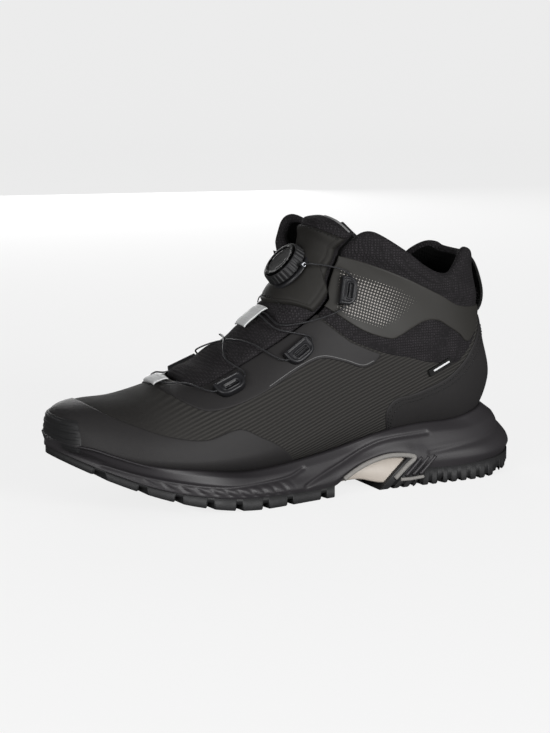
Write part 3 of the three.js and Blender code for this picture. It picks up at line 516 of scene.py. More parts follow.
# ------------------------------------------------------------------ finishes
class Finish:
    """A procedural material: a Principled shader with small helpers to wire it."""

    def __init__(self, name, color, roughness, metallic=0.0, specular=0.4):
        self.material = bpy.data.materials.new(name)
        self.material.use_nodes = True
        self.tree = self.material.node_tree
        self.shader = self.tree.nodes["Principled BSDF"]
        self.color = self.rgb(color)
        self.shader.inputs["Base Color"].default_value = self.color
        self.shader.inputs["Roughness"].default_value = roughness
        self.shader.inputs["Metallic"].default_value = metallic
        self.shader.inputs["Specular IOR Level"].default_value = specular

    @staticmethod
    def rgb(color):
        return (*[(c / 255) ** 2.2 for c in color], 1.0)

    def link(self, value, socket):
        if isinstance(value, (int, float, tuple)):
            socket.default_value = value
        else:
            self.tree.links.new(value, socket)

    def node(self, kind, **settings):
        made = self.tree.nodes.new(kind)
        for key, value in settings.items():
            setattr(made, key, value)
        return made

    def math(self, operation, a, b=0.0):
        made = self.node("ShaderNodeMath", operation=operation)
        self.link(a, made.inputs[0])
        self.link(b, made.inputs[1])
        return made.outputs[0]

    def place(self):
        return self.node("ShaderNodeTexCoord").outputs["Object"]

    def st(self):
        """The two surface coordinates in millimetres."""
        parts = self.node("ShaderNodeSeparateXYZ")
        self.tree.links.new(self.node("ShaderNodeTexCoord").outputs["UV"], parts.inputs[0])
        return parts.outputs[0], parts.outputs[1]

    def mark(self, name):
        return self.node("ShaderNodeAttribute", attribute_name=name).outputs["Fac"]

    def noise(self, per_metre, detail=3.0):
        made = self.node("ShaderNodeTexNoise")
        self.tree.links.new(self.place(), made.inputs["Vector"])
        made.inputs["Scale"].default_value = per_metre
        made.inputs["Detail"].default_value = detail
        return made.outputs["Fac"]

    def xyz(self):
        """The three coordinates of the place, in metres."""
        parts = self.node("ShaderNodeSeparateXYZ")
        self.tree.links.new(self.place(), parts.inputs[0])
        return parts.outputs[0], parts.outputs[1], parts.outputs[2]

    def slanted(self, rise, run):
        """Two coordinates in the side view, at right angles and turned by the given slope."""
        x, _, z = self.xyz()
        along = self.math("SUBTRACT", self.math("MULTIPLY", x, run), self.math("MULTIPLY", z, rise))
        up = self.math("ADD", self.math("MULTIPLY", x, rise), self.math("MULTIPLY", z, run))
        return along, up

    def cells(self, per_metre):
        """A honeycomb of rounded cells, 1 at each centre and 0 along their borders."""
        made = self.node("ShaderNodeTexVoronoi", feature="DISTANCE_TO_EDGE")
        self.tree.links.new(self.place(), made.inputs["Vector"])
        made.inputs["Scale"].default_value = per_metre
        made.inputs["Randomness"].default_value = 0.3
        return self.math("MINIMUM", self.math("MULTIPLY", made.outputs["Distance"], 3.0), 1.0)

    def ripple(self, value, pitch):
        """0..1 ripples along a millimetre value."""
        turn = self.math("MULTIPLY", value, 2 * math.pi / pitch)
        return self.math("ADD", self.math("MULTIPLY", self.math("SINE", turn), 0.5), 0.5)

    def blend(self, share, to):
        """Mixes the colour so far towards another colour by a 0..1 value."""
        mix = self.node("ShaderNodeMix", data_type="RGBA")
        self.link(share, mix.inputs[0])
        self.link(self.color, mix.inputs[6])
        self.link(self.rgb(to), mix.inputs[7])
        self.color = mix.outputs[2]
        self.tree.links.new(self.color, self.shader.inputs["Base Color"])

    def relief(self, height, depth):
        """Bumps the surface by a 0..1 value, depth in millimetres."""
        bump_node = self.node("ShaderNodeBump")
        bump_node.inputs["Strength"].default_value = 1.0
        bump_node.inputs["Distance"].default_value = depth * MM
        self.tree.links.new(height, bump_node.inputs["Height"])
        before = self.shader.inputs["Normal"]
        if before.is_linked:
            self.tree.links.new(before.links[0].from_socket, bump_node.inputs["Normal"])
        self.tree.links.new(bump_node.outputs[0], before)

    def mottle(self, per_metre, to, share=0.5):
        self.blend(self.math("MULTIPLY", self.noise(per_metre), share), to)

    def rough(self, share, low, high):
        ranged = self.math("ADD", self.math("MULTIPLY", share, high - low), low)
        self.tree.links.new(ranged, self.shader.inputs["Roughness"])


def shell_finish():
    f = Finish("shell", (56, 55, 53), 0.85, specular=0.2)
    along, up = f.slanted(-0.34, 0.94)
    ribs = f.math("MULTIPLY", f.ripple(up, 2.0 * MM), f.mark("ribs"))
    f.blend(f.math("MULTIPLY", f.math("SUBTRACT", f.mark("ribs"), ribs), 0.75), (20, 19, 19))
    f.relief(ribs, 0.4)
    f.relief(f.ripple(along, 0.9 * MM), 0.08)
    # Painted shade: over the toe, where the ribs mark falls to 0, the colour darkens towards (33, 32, 31) to
    # stand in for the shade on the toe's upward-facing top.
    f.blend(f.math("SUBTRACT", 1.0, f.mark("ribs")), (33, 32, 31))
    f.mottle(500, (52, 51, 50), 0.4)
    return f.material


def cuff_film_finish():
    f = Finish("cuff_film", (44, 43, 41), 0.55, specular=0.25)
    row, column = f.slanted(0.34, 0.94)
    dots = f.math("MULTIPLY", f.ripple(row, 1.8 * MM), f.ripple(column, 1.8 * MM))
    zone = f.mark("dots")
    f.blend(f.math("MULTIPLY", zone, 0.75), (15, 15, 14))
    bar = f.math("SUBTRACT", 1.02, f.math("MULTIPLY", zone, 0.62))
    f.blend(f.math("GREATER_THAN", dots, bar), (134, 130, 126))
    f.relief(f.noise(2200), 0.06)
    return f.material


def knit_finish():
    f = Finish("knit", (33, 32, 33), 0.95, specular=0.1)
    cells = f.cells(620)
    patchy = f.math("MULTIPLY", cells, f.math("MULTIPLY", f.noise(120), 1.2))
    f.blend(patchy, (58, 56, 58))
    f.relief(cells, 0.4)
    f.relief(f.noise(900), 0.2)
    return f.material


def lining_finish():
    f = Finish("lining", (15, 15, 15), 0.95, specular=0.1)
    s, t = f.st()
    holes = f.math("MULTIPLY", f.ripple(s, 2.2), f.ripple(t, 2.2))
    f.blend(f.math("GREATER_THAN", holes, 0.6), (8, 8, 8))
    f.relief(holes, -0.3)
    return f.material


def ribbon_finish():
    f = Finish("ribbon", (176, 177, 177), 0.55)
    s, t = f.st()
    weave = f.math("MULTIPLY", f.ripple(s, 0.9), f.ripple(t, 1.3))
    f.blend(f.math("MULTIPLY", weave, 0.5), (146, 147, 147))
    f.relief(weave, 0.12)
    return f.material


def webbing_finish():
    f = Finish("webbing", (28, 28, 28), 0.9, specular=0.2)
    _, y, z = f.xyz()
    weave = f.math("MULTIPLY", f.ripple(y, 1.0 * MM), f.ripple(z, 1.4 * MM))
    f.blend(f.math("MULTIPLY", weave, 0.6), (44, 44, 44))
    f.relief(weave, 0.25)
    return f.material


def cable_finish():
    f = Finish("cable", (66, 66, 68), 0.45, metallic=0.6)
    s, t = f.st()
    strands = f.ripple(f.math("ADD", s, t), 0.8)
    f.blend(f.math("MULTIPLY", f.math("SUBTRACT", 1.0, strands), 0.7), (26, 26, 27))
    f.relief(strands, 0.12)
    return f.material


def plain_finish(name, color, roughness, spots, grain=None, wear=None, **look):
    """One colour with spots of another, and where given a fine grain and uneven gloss.

    spots: per metre, colour, share; grain: per metre, depth; wear: per metre, low, high roughness.
    """
    f = Finish(name, color, roughness, **look)
    f.mottle(*spots)
    if grain:
        f.relief(f.noise(grain[0]), grain[1])
    if wear:
        f.rough(f.noise(wear[0]), *wear[1:])
    return f.material


def board_finish(name, color):
    darker = tuple(c - 22 for c in color)
    return plain_finish(name, color, 0.9, (400, darker, 0.7), (900, 0.2))


def print_finish(name, color):
    darker = tuple(int(c * 0.85) for c in color)
    return plain_finish(name, color, 0.6, (300, darker, 0.6))


RUBBER = plain_finish("rubber", (30, 30, 31), 0.62, (60, (24, 24, 25)), (900, 0.12), (120, 0.5, 0.72))
FOAM = plain_finish("foam", (42, 40, 42), 0.5, (40, (36, 35, 37)), (1600, 0.06), specular=0.35)
SHANK = plain_finish("shank", (166, 158, 149), 0.5, (80, (150, 142, 134)), (1200, 0.05))
# Painted highlight: the arrow is the same grey foam as the midsole, coloured lighter to stand in for its
# glossy highlights.
ARROW_PAINTED_HIGHLIGHT = board_finish("arrow", (126, 124, 121))
FABRIC = shell_finish()
FILM_SKIN = plain_finish("film", (42, 41, 41), 0.6, (300, (36, 35, 36), 0.6), (2200, 0.1), specular=0.2)
CUFF_FILM = cuff_film_finish()
KNIT = knit_finish()
LINING = lining_finish()
PADDING = plain_finish("padding", (66, 66, 67), 0.95, (250, (52, 52, 53), 0.7), (1500, 0.2), specular=0.15)
BOARD = board_finish("board", (172, 160, 140))
STIFFENER = board_finish("stiffener", (186, 181, 170))
PANEL = plain_finish("panel", (40, 39, 37), 0.65, (260, (33, 32, 31), 0.6), (2600, 0.08), specular=0.2)
RIBBON = ribbon_finish()
WEBBING = webbing_finish()
PLASTIC = plain_finish("plastic", (34, 34, 36), 0.42, (200, (27, 27, 29), 0.6), (3000, 0.04), specular=0.3)
GLOSSY = plain_finish("glossy", (3, 3, 3), 0.3, (30, (8, 8, 8)), wear=(90, 0.25, 0.38), specular=0.04)
STEEL = plain_finish("steel", (150, 152, 156), 0.3, (500, (120, 122, 126)), wear=(800, 0.22, 0.4),
                     metallic=1.0)
CABLE = cable_finish()
PRINT = print_finish("print", (104, 104, 104))
PRINT_WHITE = print_finish("print_white", (214, 215, 216))
THREAD = print_finish("thread", (16, 16, 16))

# ------------------------------------------------------------------ upper
AROUND, ALONG = ((300, 330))
skin = skin_grid(AROUND, ALONG)
ROUND_LEVELS = (0.12, 0.35, 0.8)


def film_top(p, st, *d):
    """Films stand proud of the shell and are rounded over along every edge."""
    near = np.min(d, axis=0)
    return 0.25 + FILM * edge(near, 0.8)


def film(name, fields, node, material=None, marks=None, reshape=None):
    sheet(name, skin, fields, film_top, lambda p, st, *d: 0.02, material or FILM_SKIN, node,
          levels=ROUND_LEVELS, marks=marks, reshape=reshape)


def rib_fade_and_toe_shade(p, st):
    """The shell's ribs fade out over the toe, and the shell finish paints shade over the toe where this
    share falls to 0.
    """
    return ramp(p[:, 0], -228, -176)


def upper():
    # The ribs mark fades the ribs and also sets where the shell finish paints shade over the toe.
    sheet("shell", skin, [field_below(CUFF_SEAM, 0.8), outside_throat(), field_above(BITE, -8)],
          lambda p, st, *d: 1.3 * edge(np.minimum(d[0], d[1]), 1.2) - 1.3,
          lambda p, st, *d: -SHELL, FABRIC, "upper_shell", levels=(0.2, 0.6, 1.2), marks={"ribs": rib_fade_and_toe_shade})
    sheet("shoe_lining", skin, [field_below(CUFF_SEAM, 2.5), outside_throat()],
          lambda p, st, *d: LINING_OUT, lambda p, st, *d: LINING_IN, LINING, "lining")


def overlays():
    toe = [(-300, 66), (-250, 66), *RAND_LINE]
    film("rand", [field_below(toe), field_above(BITE, -3)], "toe_rand")
    heel = np.vstack([fine(HEEL_LINE), [(60, 102), (60, 20), (-54, 20)]])
    film("heel_counter_film", [field_inside(heel), field_above(BITE, -3)], "heel_overlay")
    for word, side in SIDES:
        seam = [(x, z - 1) for x, z in CUFF_SEAM[:4]][::-1]
        zone = np.vstack([fine(EYESTAY_LINE), seam, [(-106, 140), (-140, 140), (-199, 110)]])
        film(f"eyestay_film_{word}", [field_inside(zone), outside_throat(0.2), field_side(side, 5)],
             f"eyestay_{word}")
    zone = np.vstack([fine(FILM_TOP), fine(FILM_FOOT)])
    dots = np.array(DOT_FIELD, float)

    def dot_share(p, st):
        return ramp(inside(dots, side_view(p)), -1, 3) * (1 - 0.75 * ramp(p[:, 0], -66, -44))

    film("ankle_band", [field_inside(zone), outside_throat(0.2)], "ankle_film", CUFF_FILM,
         {"dots": dot_share}, reshape=flare)


def collar_field(p, st):
    """Signed distance below the cuff's rim, which differs from side to side."""
    lateral = field_below(COLLAR[LATERAL])(p, st)
    medial = field_below(COLLAR[MEDIAL])(p, st)
    share = ramp(p[:, 1], -6, 10)
    return lateral * (1 - share) + medial * share


def rim_field(inset):
    """Distance from the cuff's free edge: the rim and the throat, joined by a round corner."""
    def field(p, st):
        rim = collar_field(p, st) - inset
        front = -throat(p) - 0.6 * inset
        radius = 7.5 + 7.5 * ramp(p[:, 1], -6, 10)
        return radius - np.hypot(np.maximum(radius - rim, 0), np.maximum(radius - front, 0))
    return field


def flare(points):
    """The collar's medial front edge stands open, forward of the rest of the cuff."""
    points = points.copy()
    near = np.exp(-(np.maximum(-throat(points), 0) / 24) ** 2)
    share = near * ramp(points[:, 2], 112, 146) * ramp(points[:, 1], 8, 19)
    points[:, 0] -= 25 * share
    points[:, 1] += 4 * share
    points[:, 2] += 5 * share * ramp(points[:, 2], 140, 165)
    points[:, 0] -= heel_tuck(points)
    return points


def heel_tuck(points):
    """The rear of the collar tucks in towards the ankle."""
    return 6 * ramp(points[:, 2], 108, 138) * ramp(points[:, 0], -30, 8)


def cuff():
    middle = -3.2

    def outer(p, st, seam, near):
        full = 1.5 * ramp(field_above(FILM_TOP)(p, st), 0, 7) - 0.6 * (1 - edge(seam, 1.6))
        return middle + (full - middle) * edge(near, 4.5)

    def inner(p, st, seam, near):
        full = -4.6 - 1.7 * ramp(seam, 0, 8)
        return middle + (full - middle) * edge(near, 4.5)

    fields = [field_above(CUFF_SEAM, 0.2), rim_field(0)]
    sheet("cuff_roll", skin, fields, outer, inner, KNIT, "cuff_knit cuff_foam",
          levels=(0.3, 1, 2.2, 3.4, 4.6), reshape=flare)

    def lining_top(p, st, seam, near):
        return -6.2 + 0.4 * (1 - ramp(near, 0, 3))

    def lining_low(p, st, seam, near):
        return -6.6 - 1.6 * ramp(near, 0, 9) * ramp(seam, 0, 9)

    fields = [field_above(CUFF_SEAM, 0.5), rim_field(3.5)]
    sheet("cuff_inside", skin, fields, lining_top, lining_low, LINING, "cuff_lining", levels=(1.0, 3.0),
          reshape=flare)


def insole_bed():
    sheet("footbed", skin, [field_below(INSOLE_TOP, 1.5)], lambda p, st, d: -4.7,
          lambda p, st, d: -6.7 - 1.5 * ramp(d, 0, 6), PADDING, "insole", levels=(1.0, 3.0))


def stiffeners():
    toe = [(-300, 46), (-250, 43), (-232, 39), (-214, 50), (-206, 110), (-300, 110)]
    heel = [(-62, 42), (-40, 70), (-6, 71), (60, 72), (60, 42)]
    for name, node, zone in (("toe_shell_puff", "toe_puff", toe), ("heel_cup", "heel_counter", heel)):
        sheet(name, skin, [field_inside(zone)], lambda p, st, d: -1.75, lambda p, st, d: -2.9,
              STIFFENER, node)


upper()
overlays()
cuff()
insole_bed()
stiffeners()

# ------------------------------------------------------------------ sole unit
SIDE_POINTS = 300
WALL = [(0, 0.14), (0.2, 0), (0.36, 0.08), (0.58, 0.36), (0.82, 0.6), (1, 1)]
SHANK_FOOT = [(-104, 6), (-92, 8), (-78, 7.5), (-62, 3.5), (-40, 3)]
LUG_DEPTH = 4.0


def ground(x):
    return toe_spring(x) + 7 * (np.maximum(x - 5, 0) / 38) ** 2


def sole_sides():
    """The ground outline as two runs from toe tip to heel tip."""
    dense = spline(SOLE, np.arange(840) * len(SOLE) / 840, closed=True)
    dense = np.roll(dense, -int(dense[:, 0].argmin()), axis=0)
    heel = int(dense[:, 0].argmax())
    one = dense[:heel + 1]
    other = np.vstack([dense[heel:], dense[:1]])[::-1]
    runs = sorted((one, other), key=lambda run: run[:, 1].mean())
    return [evenly(run, SIDE_POINTS + 1) for run in runs]


def bite_side(side, offset):
    """Where the skin at an offset meets the top line of the midsole, toe tip to heel tip."""
    turns = np.linspace(np.pi / 2, np.pi, 200)
    stations = np.linspace(0.3, 11.2, 500)
    u, v = np.meshgrid(-side * turns, stations, indexing="ij")
    p = last(u, v) + last_normal(u, v) * offset
    rise = p[..., 2] - height(BITE, p[..., 0])
    found = []
    for column in range(len(stations)):
        above = rise[:, column] > 0
        if above[0] and not above[-1]:
            k = int(np.argmin(above)) - 1
            share = rise[k, column] / (rise[k, column] - rise[k + 1, column])
            found.append(p[k, column] * (1 - share) + p[k + 1, column] * share)
    back = rise[-1] > 0
    ends = [p[-1, k] for k in (int(np.argmin(back)), len(back) - 1 - int(np.argmin(back[::-1])))]
    return evenly(np.vstack([ends[0], found, ends[1]]), SIDE_POINTS + 1)


def ring(sides):
    lateral, medial = sides
    return np.vstack([lateral, medial[::-1][1:-1]])


def outward(loop):
    """Plan normals of a ring that runs toe, lateral side, heel, medial side."""
    run = np.roll(loop, -1, axis=0) - np.roll(loop, 1, axis=0)
    n = np.stack([run[:, 1], -run[:, 0]], 1)
    return n / np.maximum(np.linalg.norm(n, axis=1, keepdims=True), 1e-9)


sole_ring = ring(sole_sides())
bite_ring = ring([bite_side(side, SOLE_WELL + MIDSOLE_LIP) for side in (LATERAL, MEDIAL)])
lip_ring = ring([bite_side(side, 0.4) for side in (LATERAL, MEDIAL)])


def crease(points, line, width, depth):
    """A rounded furrow along a side line."""
    curve = fine(line)
    gap = distance_to(curve, side_view(points))
    return -depth * bump(gap, width)


def wall_relief(p):
    """How far the midsole wall stands out from its plain form, point by point."""
    x, y, z = p.T
    relief = crease(p, [(-243, 31), (-223, 25), (-191, 18), (-166, 15), (-134, 16), (-120, 20)], 1.1, 1.0)
    relief += crease(p, [(-120, 10), (-115, 12), (-95, 19), (-75, 27), (-58, 31), (-30, 32)], 1.3, 1.1)
    relief += crease(p, [(-30, 20), (-8, 22), (16, 25), (34, 31)], 1.6, 0.7)
    line = np.interp(x, [-243, -223, -191, -166, -134, -120], [31, 25, 18, 15, 16, 20])
    low = height(MIDSOLE_UNDER, x)
    band = ramp(z, low + 1, low + 2.2) * (1 - ramp(z, line - 2, line - 0.8))
    slashes = ramp(np.sin(2 * np.pi * (x + 0.9 * z) / 7.5), 0.1, 0.7)
    relief -= 0.55 * slashes * band * ramp(x, -232, -224) * (1 - ramp(x, -136, -126))
    arch = ramp(x, -98, -90) * (1 - ramp(x, -40, -32))
    relief -= 1.2 * arch * (1 - ramp(z, low + 0.6, low + 3.4))
    return relief


def midsole():
    shares = np.concatenate([np.linspace(0, 0.9, 34), [0.93, 0.96, 0.985, 1.0]])
    insets = spline(WALL, np.interp(shares, [w[0] for w in WALL], np.arange(len(WALL))))[:, 1]
    insets = np.interp(shares, [w[0] for w in WALL], [w[1] for w in WALL]) * 0.4 + insets * 0.6
    rows = []
    for share, inset in zip(shares, insets):
        plan = sole_ring * (1 - inset) + bite_ring[:, :2] * inset
        under = height(MIDSOLE_UNDER, plan[:, 0])
        rows.append(np.column_stack([plan, under + (bite_ring[:, 2] - under) * share]))
    for row in rows[1:-3]:
        row[:, :2] += outward(row) * wall_relief(row)[:, None]
    foot = rows[0].copy()
    foot[:, :2] -= outward(foot) * 6
    foot[:, 2] += 0.2
    rim_top = bite_ring * 0.45 + lip_ring * 0.55
    rim_top[:, 2] = bite_ring[:, 2] + 0.7
    sunk = lip_ring - [0, 0, 5]
    points = np.vstack([foot, *rows, rim_top, lip_ring + [0, 0, 0.1], sunk])
    count = len(sole_ring)
    faces = bands(len(points) // count, count)
    top = len(points) - count
    half = count // 2
    for k in range(half):
        across = [(count - j) % count for j in (k, k + 1)]
        for base, flip in ((0, 1), (top, -1)):
            corners = [base + k, base + across[0], base + across[1], base + k + 1]
            corners = list(dict.fromkeys(corners))
            if len(corners) > 2:
                faces.append(tuple(corners[::flip]))
    piece("midsole_form", points, faces, FOAM, "midsole", uv=points[:, [0, 2]])


def plan_grid():
    """A level grid seen from below, in the surface columns."""
    step = 1.6
    x, y = np.meshgrid(np.arange(-268, 50, step), np.arange(-62, 58, step))
    zero = np.zeros(x.size)
    data = np.column_stack([x.ravel(), y.ravel(), zero, zero, zero, zero - 1, x.ravel(), y.ravel()])
    return data, flipped(grid_triangles(x.shape))


def groove_gap(p, across_at, lengthwise):
    """Distance from the tread grooves' walls, positive on a lug."""
    x, y = p[:, 0], p[:, 1]
    gap = np.full(len(p), 1e3)
    for at in across_at:
        gap = np.minimum(gap, np.abs(x - at - 0.2 * np.abs(y)) * 0.98 - 2.1)
    for x0, x1, at in lengthwise:
        beyond = np.maximum(np.maximum(x0 - x, x - x1), 0)
        gap = np.minimum(gap, np.hypot(np.abs(y - at), beyond) - 1.9)
    return gap


def heel_lean(points):
    """The heel block's front face slants: its foot reaches further forward than its top."""
    points = points.copy()
    high = np.clip(points[:, 2] / 18, 0, 1)
    points[:, 0] += 22 * high * (1 - ramp(points[:, 0], -64, -24))
    return points


def into_midsole(p, st, *d):
    """The level just above the midsole's underside, as a depth below the ground plane."""
    return -(height(MIDSOLE_UNDER, p[:, 0]) + 1.0)


def outsole(name, node, across_at, lengthwise, front, rear, reshape=None, teeth=()):
    loop = sole_ring - outward(sole_ring) * 0.8

    def plan(p, st):
        return inside(loop, p[:, :2])

    def on_lug(p):
        return np.minimum(groove_gap(p, across_at, lengthwise), off_tooth_gap(p))

    def off_tooth_gap(p):
        gap = np.full(len(p), 1e3)
        beyond = np.maximum(plan(p, None) - 6, 0)
        for at in teeth:
            gap = np.minimum(gap, np.hypot(p[:, 0] - at, beyond) - 1.3)
        return gap

    def ends(p, st):
        return np.minimum(p[:, 0] - front, rear - p[:, 0])

    def tread(p, st, d_plan, d_ends):
        roof = height(MIDSOLE_UNDER, p[:, 0]) - 1.8
        low = ground(p[:, 0])
        deep = np.minimum(low + LUG_DEPTH, roof)
        share = edge(np.minimum(on_lug(p), np.minimum(d_plan, d_ends) + 0.35), 0.9)
        share = np.where(on_lug(p) < 0, 0, 0.25 + 0.75 * share)
        share = np.where(off_tooth_gap(p) < 0, 0.45, share)
        return -(deep + (low - deep) * share)

    data, tris = plan_grid()
    data = np.column_stack([data, on_lug(data[:, :3])])
    for level in (-0.25, 0.02, 0.35, 0.9):
        data, tris = split(data, tris, 8, level)
    sheet(name, (data[:, :8], tris), [plan, ends], tread, into_midsole, RUBBER, node,
          levels=(0.3, 0.9), merge=0.01, reshape=reshape)


def shank():
    loop = sole_ring - outward(sole_ring) * 3.5

    def tread(p, st, d_plan, d_ends):
        foot = height(SHANK_FOOT, p[:, 0])
        round_over = 1.5 * (1 - edge(np.minimum(d_plan, d_ends), 2.0))
        wave = np.sin(2 * np.pi * (p[:, 0] - 0.5 * np.abs(p[:, 1])) / 9)
        ribs = 0.5 * ramp(wave, 0.1, 0.8) * ramp(d_plan, 3, 5)
        return -(foot + round_over + ribs)

    def ends(p, st):
        return np.minimum(p[:, 0] + 98, -42 - p[:, 0])

    sheet("shank_arch", plan_grid(), [lambda p, st: inside(loop, p[:, :2]), ends], tread, into_midsole,
          SHANK, "shank_plate", levels=(0.3, 0.9, 2.0))


def wall_points(line, side, level):
    """Side-view points set on the sole's side wall."""
    wall = sole_ring[sole_ring[:, 1] * side > 0]
    wall = wall[np.argsort(wall[:, 0])]
    return np.array([(x, np.interp(x, wall[:, 0], wall[:, 1]) + side * level, z) for x, z in line])


def arch_ribs():
    """The raised arrow, whose light grey is a painted highlight, and the slanted ribs between the arch and
    the heel block.
    """
    arrow = [(-92, 10.5), (-84, 14.5), (-74, 18.2), (-60, 21), (-48, 20.4), (-41.5, 18.4), (-47, 13.5),
             (-55, 6.4)]
    foot = [(-51, 5.4), (-44, 5.2), (-35, 5.8)]
    slants = [[(x, 18.0), (x - 5.5, 12.5), (x - 11, 7.4)] for x in (-36.5, -31.5, -26.5)]
    for word, side in SIDES:
        for number, (line, radius) in enumerate(((arrow, 1.5), (foot, 1.1))):
            path = centripetal(wall_points(line, side, -0.5), 8)
            tube(f"arch_arrow_{word}_{number}", path, radius, ARROW_PAINTED_HIGHLIGHT)
        for number, line in enumerate(slants):
            path = centripetal(wall_points(line, side, -0.7), 6)
            tube(f"arch_rib_{word}_{number}", path, 1.25, FOAM)


def bumper():
    def top(p, st, d_x, d_z):
        ridges = 0.35 * ramp(np.sin(2 * np.pi * (p[:, 2] - 37.5) / 3.6), -0.4, 0.6)
        low = 1.0 * (1 - ramp(p[:, 2], 40, 46))
        return 0.9 + (0.6 + low + ridges) * edge(np.minimum(d_x, d_z), 2.0)

    sheet("toe_cap_bumper", skin_grid(420, 700),
          [lambda p, st: -252.5 - p[:, 0], lambda p, st: np.minimum(p[:, 2] - 38.2, 55 - p[:, 2])],
          top, lambda p, st, *d: 0.6, RUBBER, "toe_bumper", levels=(0.3, 0.8, 1.6))


midsole()
outsole("tread_forefoot", "outsole_forefoot", (-250, -232, -214, -196, -178, -160, -142, -116),
        ((-228, -104, -17), (-228, -104, 17)), -300, -99)
outsole("tread_heel", "outsole_heel", (-46, -30, 16, 32), ((-60, 60, -13), (-60, 60, 13)),
        -66, 60, heel_lean, teeth=np.arange(-58, 44, 7.0))
shank()
arch_ribs()
bumper()

# ------------------------------------------------------------------ tongue
TONGUE_CROWN = [(4.9, 1.6), (6, 2.4), (6.9, 3), (7.25, 7), (7.7, 9.2), (9, 8), (10, 6.6), (11, 6.6), (12, 8),
                (13, 7), (13.5, 4)]                       # station, height
TONGUE_FLATNESS = [(9.6, 2.2), (11.4, 3.5)]
TONGUE_EDGE = 0.8
TONGUE_IN = -5.0
TONGUE_SNUG = 1.0          # the soft tongue fills more of the opening than its stand-in
PANEL_FROM = 7.2
PANEL_TO = 12.3
tongue_skin = instep_grid(30, *(((130, 4.75, 13.6, 330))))


def eased(line, x):
    """Height of a line at x with level ends to every span."""
    xs, zs = np.array(line, float).T
    k = np.clip(np.searchsorted(xs, x, side="right") - 1, 0, len(xs) - 2)
    t = np.clip((x - xs[k]) / (xs[k + 1] - xs[k]), 0, 1)
    return zs[k] + (zs[k + 1] - zs[k]) * t * t * (3 - 2 * t)


def crown(st):
    """Height of the tongue over the instep at (sideways millimetres, station)."""
    y, v = st[:, 0], st[:, 1] / STATION
    share = np.minimum(np.abs(y) / (THROAT_HALF + 1), 1) ** eased(TONGUE_FLATNESS, v)
    return TONGUE_EDGE + (eased(TONGUE_CROWN, v) - TONGUE_EDGE) * (1 - share)


def in_throat(shrink):
    return lambda p, st: throat(p, -shrink)


def stations(low, high, droop=0.0):
    """Distance from both ends of a strip of the tongue, whose top falls away at its sides."""
    def field(p, st):
        top = high - droop * (np.abs(st[:, 0]) / 25) ** 4
        return np.minimum(st[:, 1] - low * STATION, top * STATION - st[:, 1])
    return field


def tongue_pad():
    def top(p, st, sides, ends):
        near = np.minimum(sides, ends)
        v = st[:, 1] / STATION
        full = crown(st) - 1.0 * ramp(v, 7.15, 7.4) * (1 - ramp(v, 12.2, 12.4))
        lumps = 1.0 * ramp(v, 4.9, 5.4) * (1 - ramp(v, 6.9, 7.2)) * np.cos(2 * np.pi * (v - 5.1) / 0.72)
        lumps = lumps * (1 - ramp(np.abs(st[:, 0]), 12, 21))
        return -2 + (full + lumps + 2) * edge(near, 3.0)

    def low(p, st, sides, ends):
        return -2 + (TONGUE_IN + 2) * edge(np.minimum(sides, ends), 3.0)

    sheet("tongue_padding", tongue_skin, [in_throat(TONGUE_SNUG), stations(4.95, 13.4, 0.8)], top, low,
          KNIT, "tongue_pad", TONGUE, levels=(0.2, 0.7, 1.5, 3.0))


def tongue_panel():
    def top(p, st, sides, ends):
        near = np.minimum(sides, ends)
        welt = 0.35 * bump(near - 2.4, 0.5)
        return crown(st) - 0.6 + 2.3 * edge(near, 1.2) - welt

    def ends(p, st):
        low = PANEL_FROM + 0.45 * (np.abs(st[:, 0]) / 20) ** 2
        return np.minimum(st[:, 1] - low * STATION, PANEL_TO * STATION - st[:, 1])

    sheet("tongue_shield", tongue_skin, [in_throat(TONGUE_SNUG + 0.4), ends], top,
          lambda p, st, *d: crown(st) - 0.9, PANEL, "tongue_panel", TONGUE,
          levels=(0.2, 0.6, 1.2, 2.0, 2.4, 2.8))


def gussets():
    for word, side in SIDES:
        y, v = np.meshgrid(np.linspace(12.5, 33.5, 24) * side, np.linspace(5.3, 7.5, 26))
        data = surface(instep_turn(y, v), v, y, v * STATION)
        p, n, st = data[:, :3], data[:, 3:6], data[:, 6:8]
        fold = 0.25 * np.cos(np.abs(y.ravel()) * 1.1)
        points = np.vstack([p + n * (-5.35 + fold)[:, None], p + n * (-6.15 + fold)[:, None]])
        columns, count = y.shape[1], y.size
        faces = []
        for row in range(y.shape[0] - 1):
            for a in range(row * columns, (row + 1) * columns - 1):
                quad = (a, a + 1, a + columns + 1, a + columns)
                faces += [quad, tuple(i + count for i in quad[::-1])]
        loop = [*range(columns), *range(2 * columns - 1, count, columns),
                *range(count - 2, count - columns - 1, -1), *range(count - 2 * columns, 0, -columns)]
        faces += [(b, a, a + count, b + count) for a, b in zip(loop, loop[1:] + loop[:1])]
        made = piece(f"gusset_fold_{word}", points, faces, LINING, f"gusset_{word}", body=None,
                     uv=np.tile(st, (2, 1)))
        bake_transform(made)


tongue_pad()
tongue_panel()
gussets()

# ------------------------------------------------------------------ guides, lace and keepers
# place on the side view, slope in degrees, length and depth
GUIDES = {"upper": ((-83, 122), 78, 18, 10), "middle": ((-118, 88), 36, 19, 11),
          "lower": ((-163, 70.5), 25, 19, 11)}
GUIDE_FOOT = 1.3 - 1.2
GUIDE_TOP = 5.05
LACE_LEVEL = 3.45
LACE_FRONT = [(-24, 4.95, 3.4), (-10, 4.66, 2.5), (10, 4.66, 2.5), (24, 4.95, 3.4)]   # y, station, level


def guide_frame(spec, side):
    """Origin, normal, run and outward direction of a guide on the skin."""
    at, run, _, _ = spec
    u, v = locate([at], side)
    origin, normal = last(u, v)[0], last_normal(u, v)[0]
    angle = math.radians(run)
    along = np.array([math.cos(angle), 0, math.sin(angle)])
    along -= normal * (along @ normal)
    along /= np.linalg.norm(along)
    away = np.cross(normal, along)
    return origin, normal, along, away * (-1 if away[2] > 0 else 1)


def guide_place(spec, side, along_by, away_by, level):
    origin, normal, along, away = guide_frame(spec, side)
    return origin + along * along_by + away * away_by + normal * level


